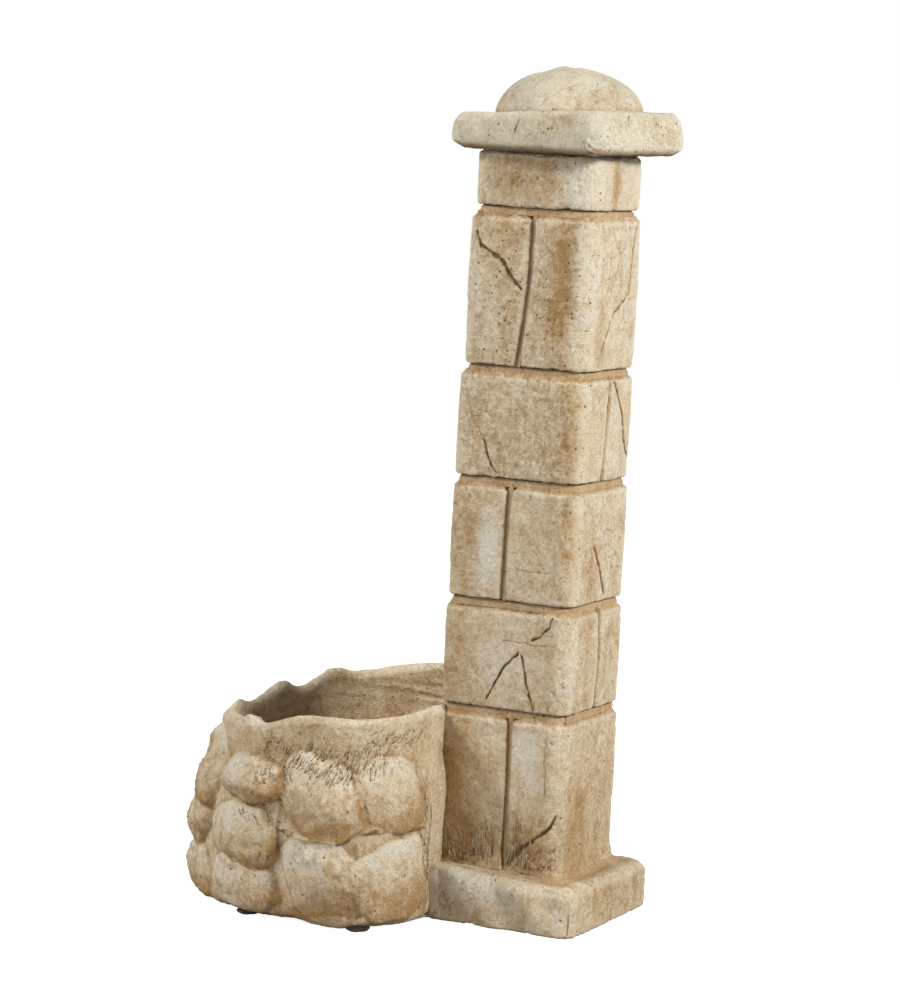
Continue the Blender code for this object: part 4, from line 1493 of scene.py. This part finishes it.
# how far the outer and inner faces stand apart at the rim: it is thick in places and thin in others
crest_width = 0.0185 + 0.0035 * np.sin(turns * 3 + 0.5) + 0.0025 * np.sin(turns * 7 + 2)
for share in np.linspace(0, 1, OUTER_ROWS):
    z = BOWL_FOOT + foot_wave * (1 - share) ** 4 + share * (rim - RIM_ROUND - BOWL_FOOT)
    base = smooth_curve(np.full(1, share), OUTSIDE, 0.03)[0]
    stand, crease, rock_light_and_shade = rock_height(turns, z)
    lip = np.clip(1 - share / 0.035, 0, 1)
    flute = 0.0022 * np.sin(turns * 23 + 4 * share) * math.exp(-(((share - 0.86) / 0.10) ** 2))
    hollow = np.clip(1 - crease, 0, 1) * np.clip((0.92 - share) / 0.1, 0, 1)
    # the wall runs straight and plain where it comes to the column
    beside = np.clip((np.abs(degrees - 90) - 122) / 16, 0, 1)
    pinch = 0.019 * beside**1.5 * np.clip((0.85 - share) / 0.4, 0, 1)
    band_tan = 0.15 * math.exp(-(((share - 0.86) / 0.08) ** 2))
    # Painted shade in the creases between rocks (recess and tan) and along the foot (lip); rocks that stand
    # out are paler, and each rock's painted light and shade is added.
    tan = 0.42 * hollow + band_tan - stand * 8 * (share < 0.8) + rock_light_and_shade
    coarse = 0.45 + 0.75 * (stand > 0.008) + 0.3 * np.clip(rock_light_and_shade, 0, 1)
    add_ring(base + stand + flute - pinch - 0.006 * lip**2, z, hollow * 0.42 + lip * 0.5, 0.0, coarse, tan)
for step in np.linspace(0, math.pi, RIM_ROWS + 2)[1:-1]:
    drift = (1 - math.cos(step)) / 2
    height = rim + RIM_ROUND * (math.sin(step) - 1)
    add_ring(CREST - crest_width * drift, height, edge=0.5 * math.sin(step), stain=-0.15)
# Inside, painted shade (recess) and tan grow towards the floor, and the floor keeps both.
for share in np.linspace(0, 1, INNER_ROWS):
    z = (rim - RIM_ROUND) * (1 - share) + (FLOOR_TOP + 0.006) * share
    ripple = 0.0012 * np.sin(z * 420 + 2.2 * np.sin(turns * 5)) * math.exp(-(((share - 0.14) / 0.12) ** 2))
    scoop = 0.0040 * math.sin(math.pi * min(share * 2.2, 1))
    blend = min(share / 0.4, 1.0)
    inside = (CREST - crest_width) * (1 - blend) - 0.052 * blend
    add_ring(inside + scoop * 0.6 + ripple - 0.004 * share, z, 0.15 * share, 0.0, 0.28, 0.10 + 0.2 * share)
# how far in from the plan, how far above the floor
CORNER_INSIDE = ((0.057, 0.0035), (0.062, 0.0012), (0.070, 0.0003), (0.085, 0.0), (0.105, 0.0),
                 (0.125, 0.0))
for inset, lift in CORNER_INSIDE:
    add_ring(-inset, FLOOR_TOP + lift, recess=0.25, rough=0.5, stain=0.5)

points, faces = skin(rings)
print("bowl points", len(points), "triangles", 2 * len(faces))

# %% [markdown]
# Pebbles sit on the rim at the front, and the casting gets painted shade where it meets the plinth and the
# column.
# Then the bowl is weathered like the stones, with wide shallow creases between its rocks and finer
# cracks, and the hairs that the brush left are laid in the hollow band and round the pebble.

# %% Finish the bowl
# (degrees round, height, offset from the plan, reach along, reach up and down, lift)
RIM_PEBBLES = ((30, 0.243, -0.050, 0.014, 0.012, 0.0120), (76, 0.236, -0.046, 0.014, 0.010, 0.0050),
               (103, 0.243, -0.042, 0.016, 0.012, 0.0050), (127, 0.255, -0.044, 0.022, 0.010, 0.0035))
for degree, z, offset, along, tall, lift in RIM_PEBBLES:
    spot = plan_points(np.array([math.radians(degree)]), np.array([offset]))[0]
    middle = np.array([spot[0], spot[1], z])
    apart = points - middle
    near = np.exp(-((apart[:, 0] ** 2 + apart[:, 1] ** 2) / along**2 + apart[:, 2] ** 2 / tall**2))
    points[:, 2] += lift * near
    outwards = np.array([math.cos(math.radians(degree)), -math.sin(math.radians(degree))])
    points[:, :2] += lift * 0.4 * near[:, None] * outwards * np.sign(apart[:, :2] @ outwards)[:, None]

plinth_low, plinth_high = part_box("plinth")


def near_block(places, low, high, reach):
    """1 at a block's surface and inside it, falling to 0 at reach."""
    gap = np.maximum(np.maximum(np.array(low) - places, places - np.array(high)), 0)
    return np.clip(1 - np.linalg.norm(gap, axis=1) / reach, 0, 1)


column_low, column_high = face_range("course_1")
# Painted shade where the bowl meets the plinth and the column.
seam_shade = near_block(points, plinth_low, plinth_high, 0.006)
seam_shade = np.maximum(seam_shade, near_block(points, column_low, column_high, 0.005))
BOWL_STAINS = [((0.25, -0.28, 0.01), (0.03, 0.03, 0.02), -0.9),
               ((0.20, -0.27, 0.250), (0.02, 0.02, 0.012), -0.8)]
values = {name: np.concatenate(row) for name, row in rows.items()}
values["recess"] = np.maximum(values["recess"], seam_shade * 0.8)
values["stain"] = values["stain"] + stain_values(points, BOWL_STAINS)
bowl = new_piece("basin_casting", points, faces, values)
surface = BVHTree.FromObject(bowl, bpy.context.evaluated_depsgraph_get())


def on_bowl(*spots, start_at=0.06, aim_at=-0.03):
    """Points on the bowl's outside, from (degrees round, height)."""
    found = []
    for degree, z in spots:
        turn = np.array([math.radians(degree)])
        outside = plan_points(turn, np.array([start_at]))[0]
        inside = plan_points(turn, np.array([aim_at]))[0]
        start = Vector((*outside, z))
        hit = surface.ray_cast(start, (Vector((*inside, z)) - start).normalized())[0]
        if hit is None:
            raise ValueError(f"nothing of the bowl lies at {degree} degrees, {z} m")
        found.append(tuple(hit))
    return found


# (half width, depth, seed, how fast it fades at its ends, points as degrees round and height)
OUTER_CRACKS = (
    (0.0017, 0.0016, 5, 12, (6.5, 0.074), (4.0, 0.050), (1.5, 0.024), (-1.0, 0.008)),
    (0.0046, 0.0060, 6, 4, (9.5, 0.119), (0, 0.112), (-8, 0.113), (-14, 0.120)),
    (0.0040, 0.0046, 7, 4, (-16, 0.124), (-24, 0.130), (-31, 0.130), (-38, 0.124)),
    (0.0055, 0.0036, 21, 3, (-13, 0.205), (-15, 0.180), (-18, 0.155)),
    (0.0070, 0.0040, 22, 3, (-15, 0.110), (-17, 0.070), (-17, 0.020)),
    (0.0052, 0.0040, 23, 4, (9, 0.196), (10, 0.160), (9.5, 0.120), (11, 0.075)),
    (0.0012, 0.0010, 8, 12, (-3, 0.205), (-9, 0.196), (-14, 0.190)),
    (0.0012, 0.0010, 9, 12, (-19, 0.188), (-25, 0.186), (-31, 0.191)),
)
INNER_CRACKS = (
    (0.0016, 0.0015, 31, 12, (138, 0.232), (152, 0.236), (166, 0.226), (186, 0.223), (200, 0.227)),
    (0.0015, 0.0013, 32, 12, (150, 0.222), (172, 0.214), (196, 0.212)),
    (0.0016, 0.0014, 33, 12, (128, 0.226), (140, 0.216), (152, 0.206)),
    (0.0014, 0.0012, 34, 12, (158, 0.243), (175, 0.240), (190, 0.244)),
)
bowl_lines = []
for cracks, side in ((OUTER_CRACKS, {}), (INNER_CRACKS, {"start_at": -0.16, "aim_at": 0.0})):
    for half_width, depth, seed, fade_rate, *spots in cracks:
        line = crack_line(on_bowl(*spots, **side), half_width, depth, seed=seed, fade_rate=fade_rate)
        bowl_lines.append(line)
weather(bowl, 34, BASIN_FINISH, bowl_lines, swell=0.0028, lumps=0.0042, grain=0.0008, chips=0.0015)
dice = random.Random(5)
strands = []
# (from and to in degrees, lowest and highest start, length, lean in degrees round, steps per degree)
BRUSH_RUNS = (
    (-26, 20, 0.206, 0.236, 0.014, -2.2, 0.38),
    (-38, -18, 0.238, 0.254, 0.009, -4.0, 0.36),
    (6, 18, 0.182, 0.203, 0.013, 2.5, 0.45),
    (-14, 2, 0.192, 0.206, 0.012, -1.5, 0.50),
    (10, 22, 0.128, 0.140, 0.009, 2.0, 0.60),
    (-44, -36, 0.030, 0.190, 0.016, 0.6, 0.10),
    (150, 204, 0.206, 0.250, 0.013, -2.0, 0.60),
)
for start, end, low_z, high_z, reach, lean, spacing in BRUSH_RUNS:
    for degree in np.arange(start, end, spacing):
        z = dice.uniform(low_z, high_z)
        length, slant = reach * dice.uniform(0.5, 1.2), lean * dice.uniform(0.2, 1.1)
        strands.append(on_bowl((degree, z - length), (degree + slant * 0.6, z - length * 0.4),
                               (degree + slant, z)))
print("bowl hairs", add_hairs(bowl, strands, 0.00085, 51, dark_share=0.4))
hand_over(bowl, "rock_face", *[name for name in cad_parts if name.startswith("basin_wall_")],
          "basin_floor")
print("bowl", triangles(bowl), "triangles")

# %% [markdown]
# ## Dabs under the basin
# The basin was levelled on four pats of dark mortar. Each is a squashed round with a wavy rim, and is
# weathered harder than the stone.

# %% Dabs
# height, share of the radius
DAB_SECTION = ((0.0002, 0.5), (0.0002, 0.95), (0.0012, 1.10), (0.0030, 1.12), (0.0045, 1.0), (0.0052, 0.6))
for node in sorted(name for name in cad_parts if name.startswith("basin_dab_")):
    low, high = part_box(node)
    middle = (low + high) / 2
    radius = (high.x - low.x) / 2
    turns_round = np.linspace(0, 2 * math.pi, 72, endpoint=False)
    wave = 1 + 0.10 * np.sin(turns_round * 2 + middle.y * 40)
    wave += 0.06 * np.sin(turns_round * 5 + middle.x * 30)
    rings = [round_ring(turns_round, radius * share * wave, z) for z, share in DAB_SECTION]
    points, faces = skin(rings)
    points[:, :2] += np.array(middle)[:2]
    dab = new_piece(node.replace("basin_dab", "mortar_dab"), points, faces, {"rough": 1.0})
    weather(dab, len(node), DAB_FINISH, swell=0.0003, lumps=0.0004, grain=0.0001, chips=0.0)
    hand_over(dab, "recessed_mortar", node)
print("dabs done")
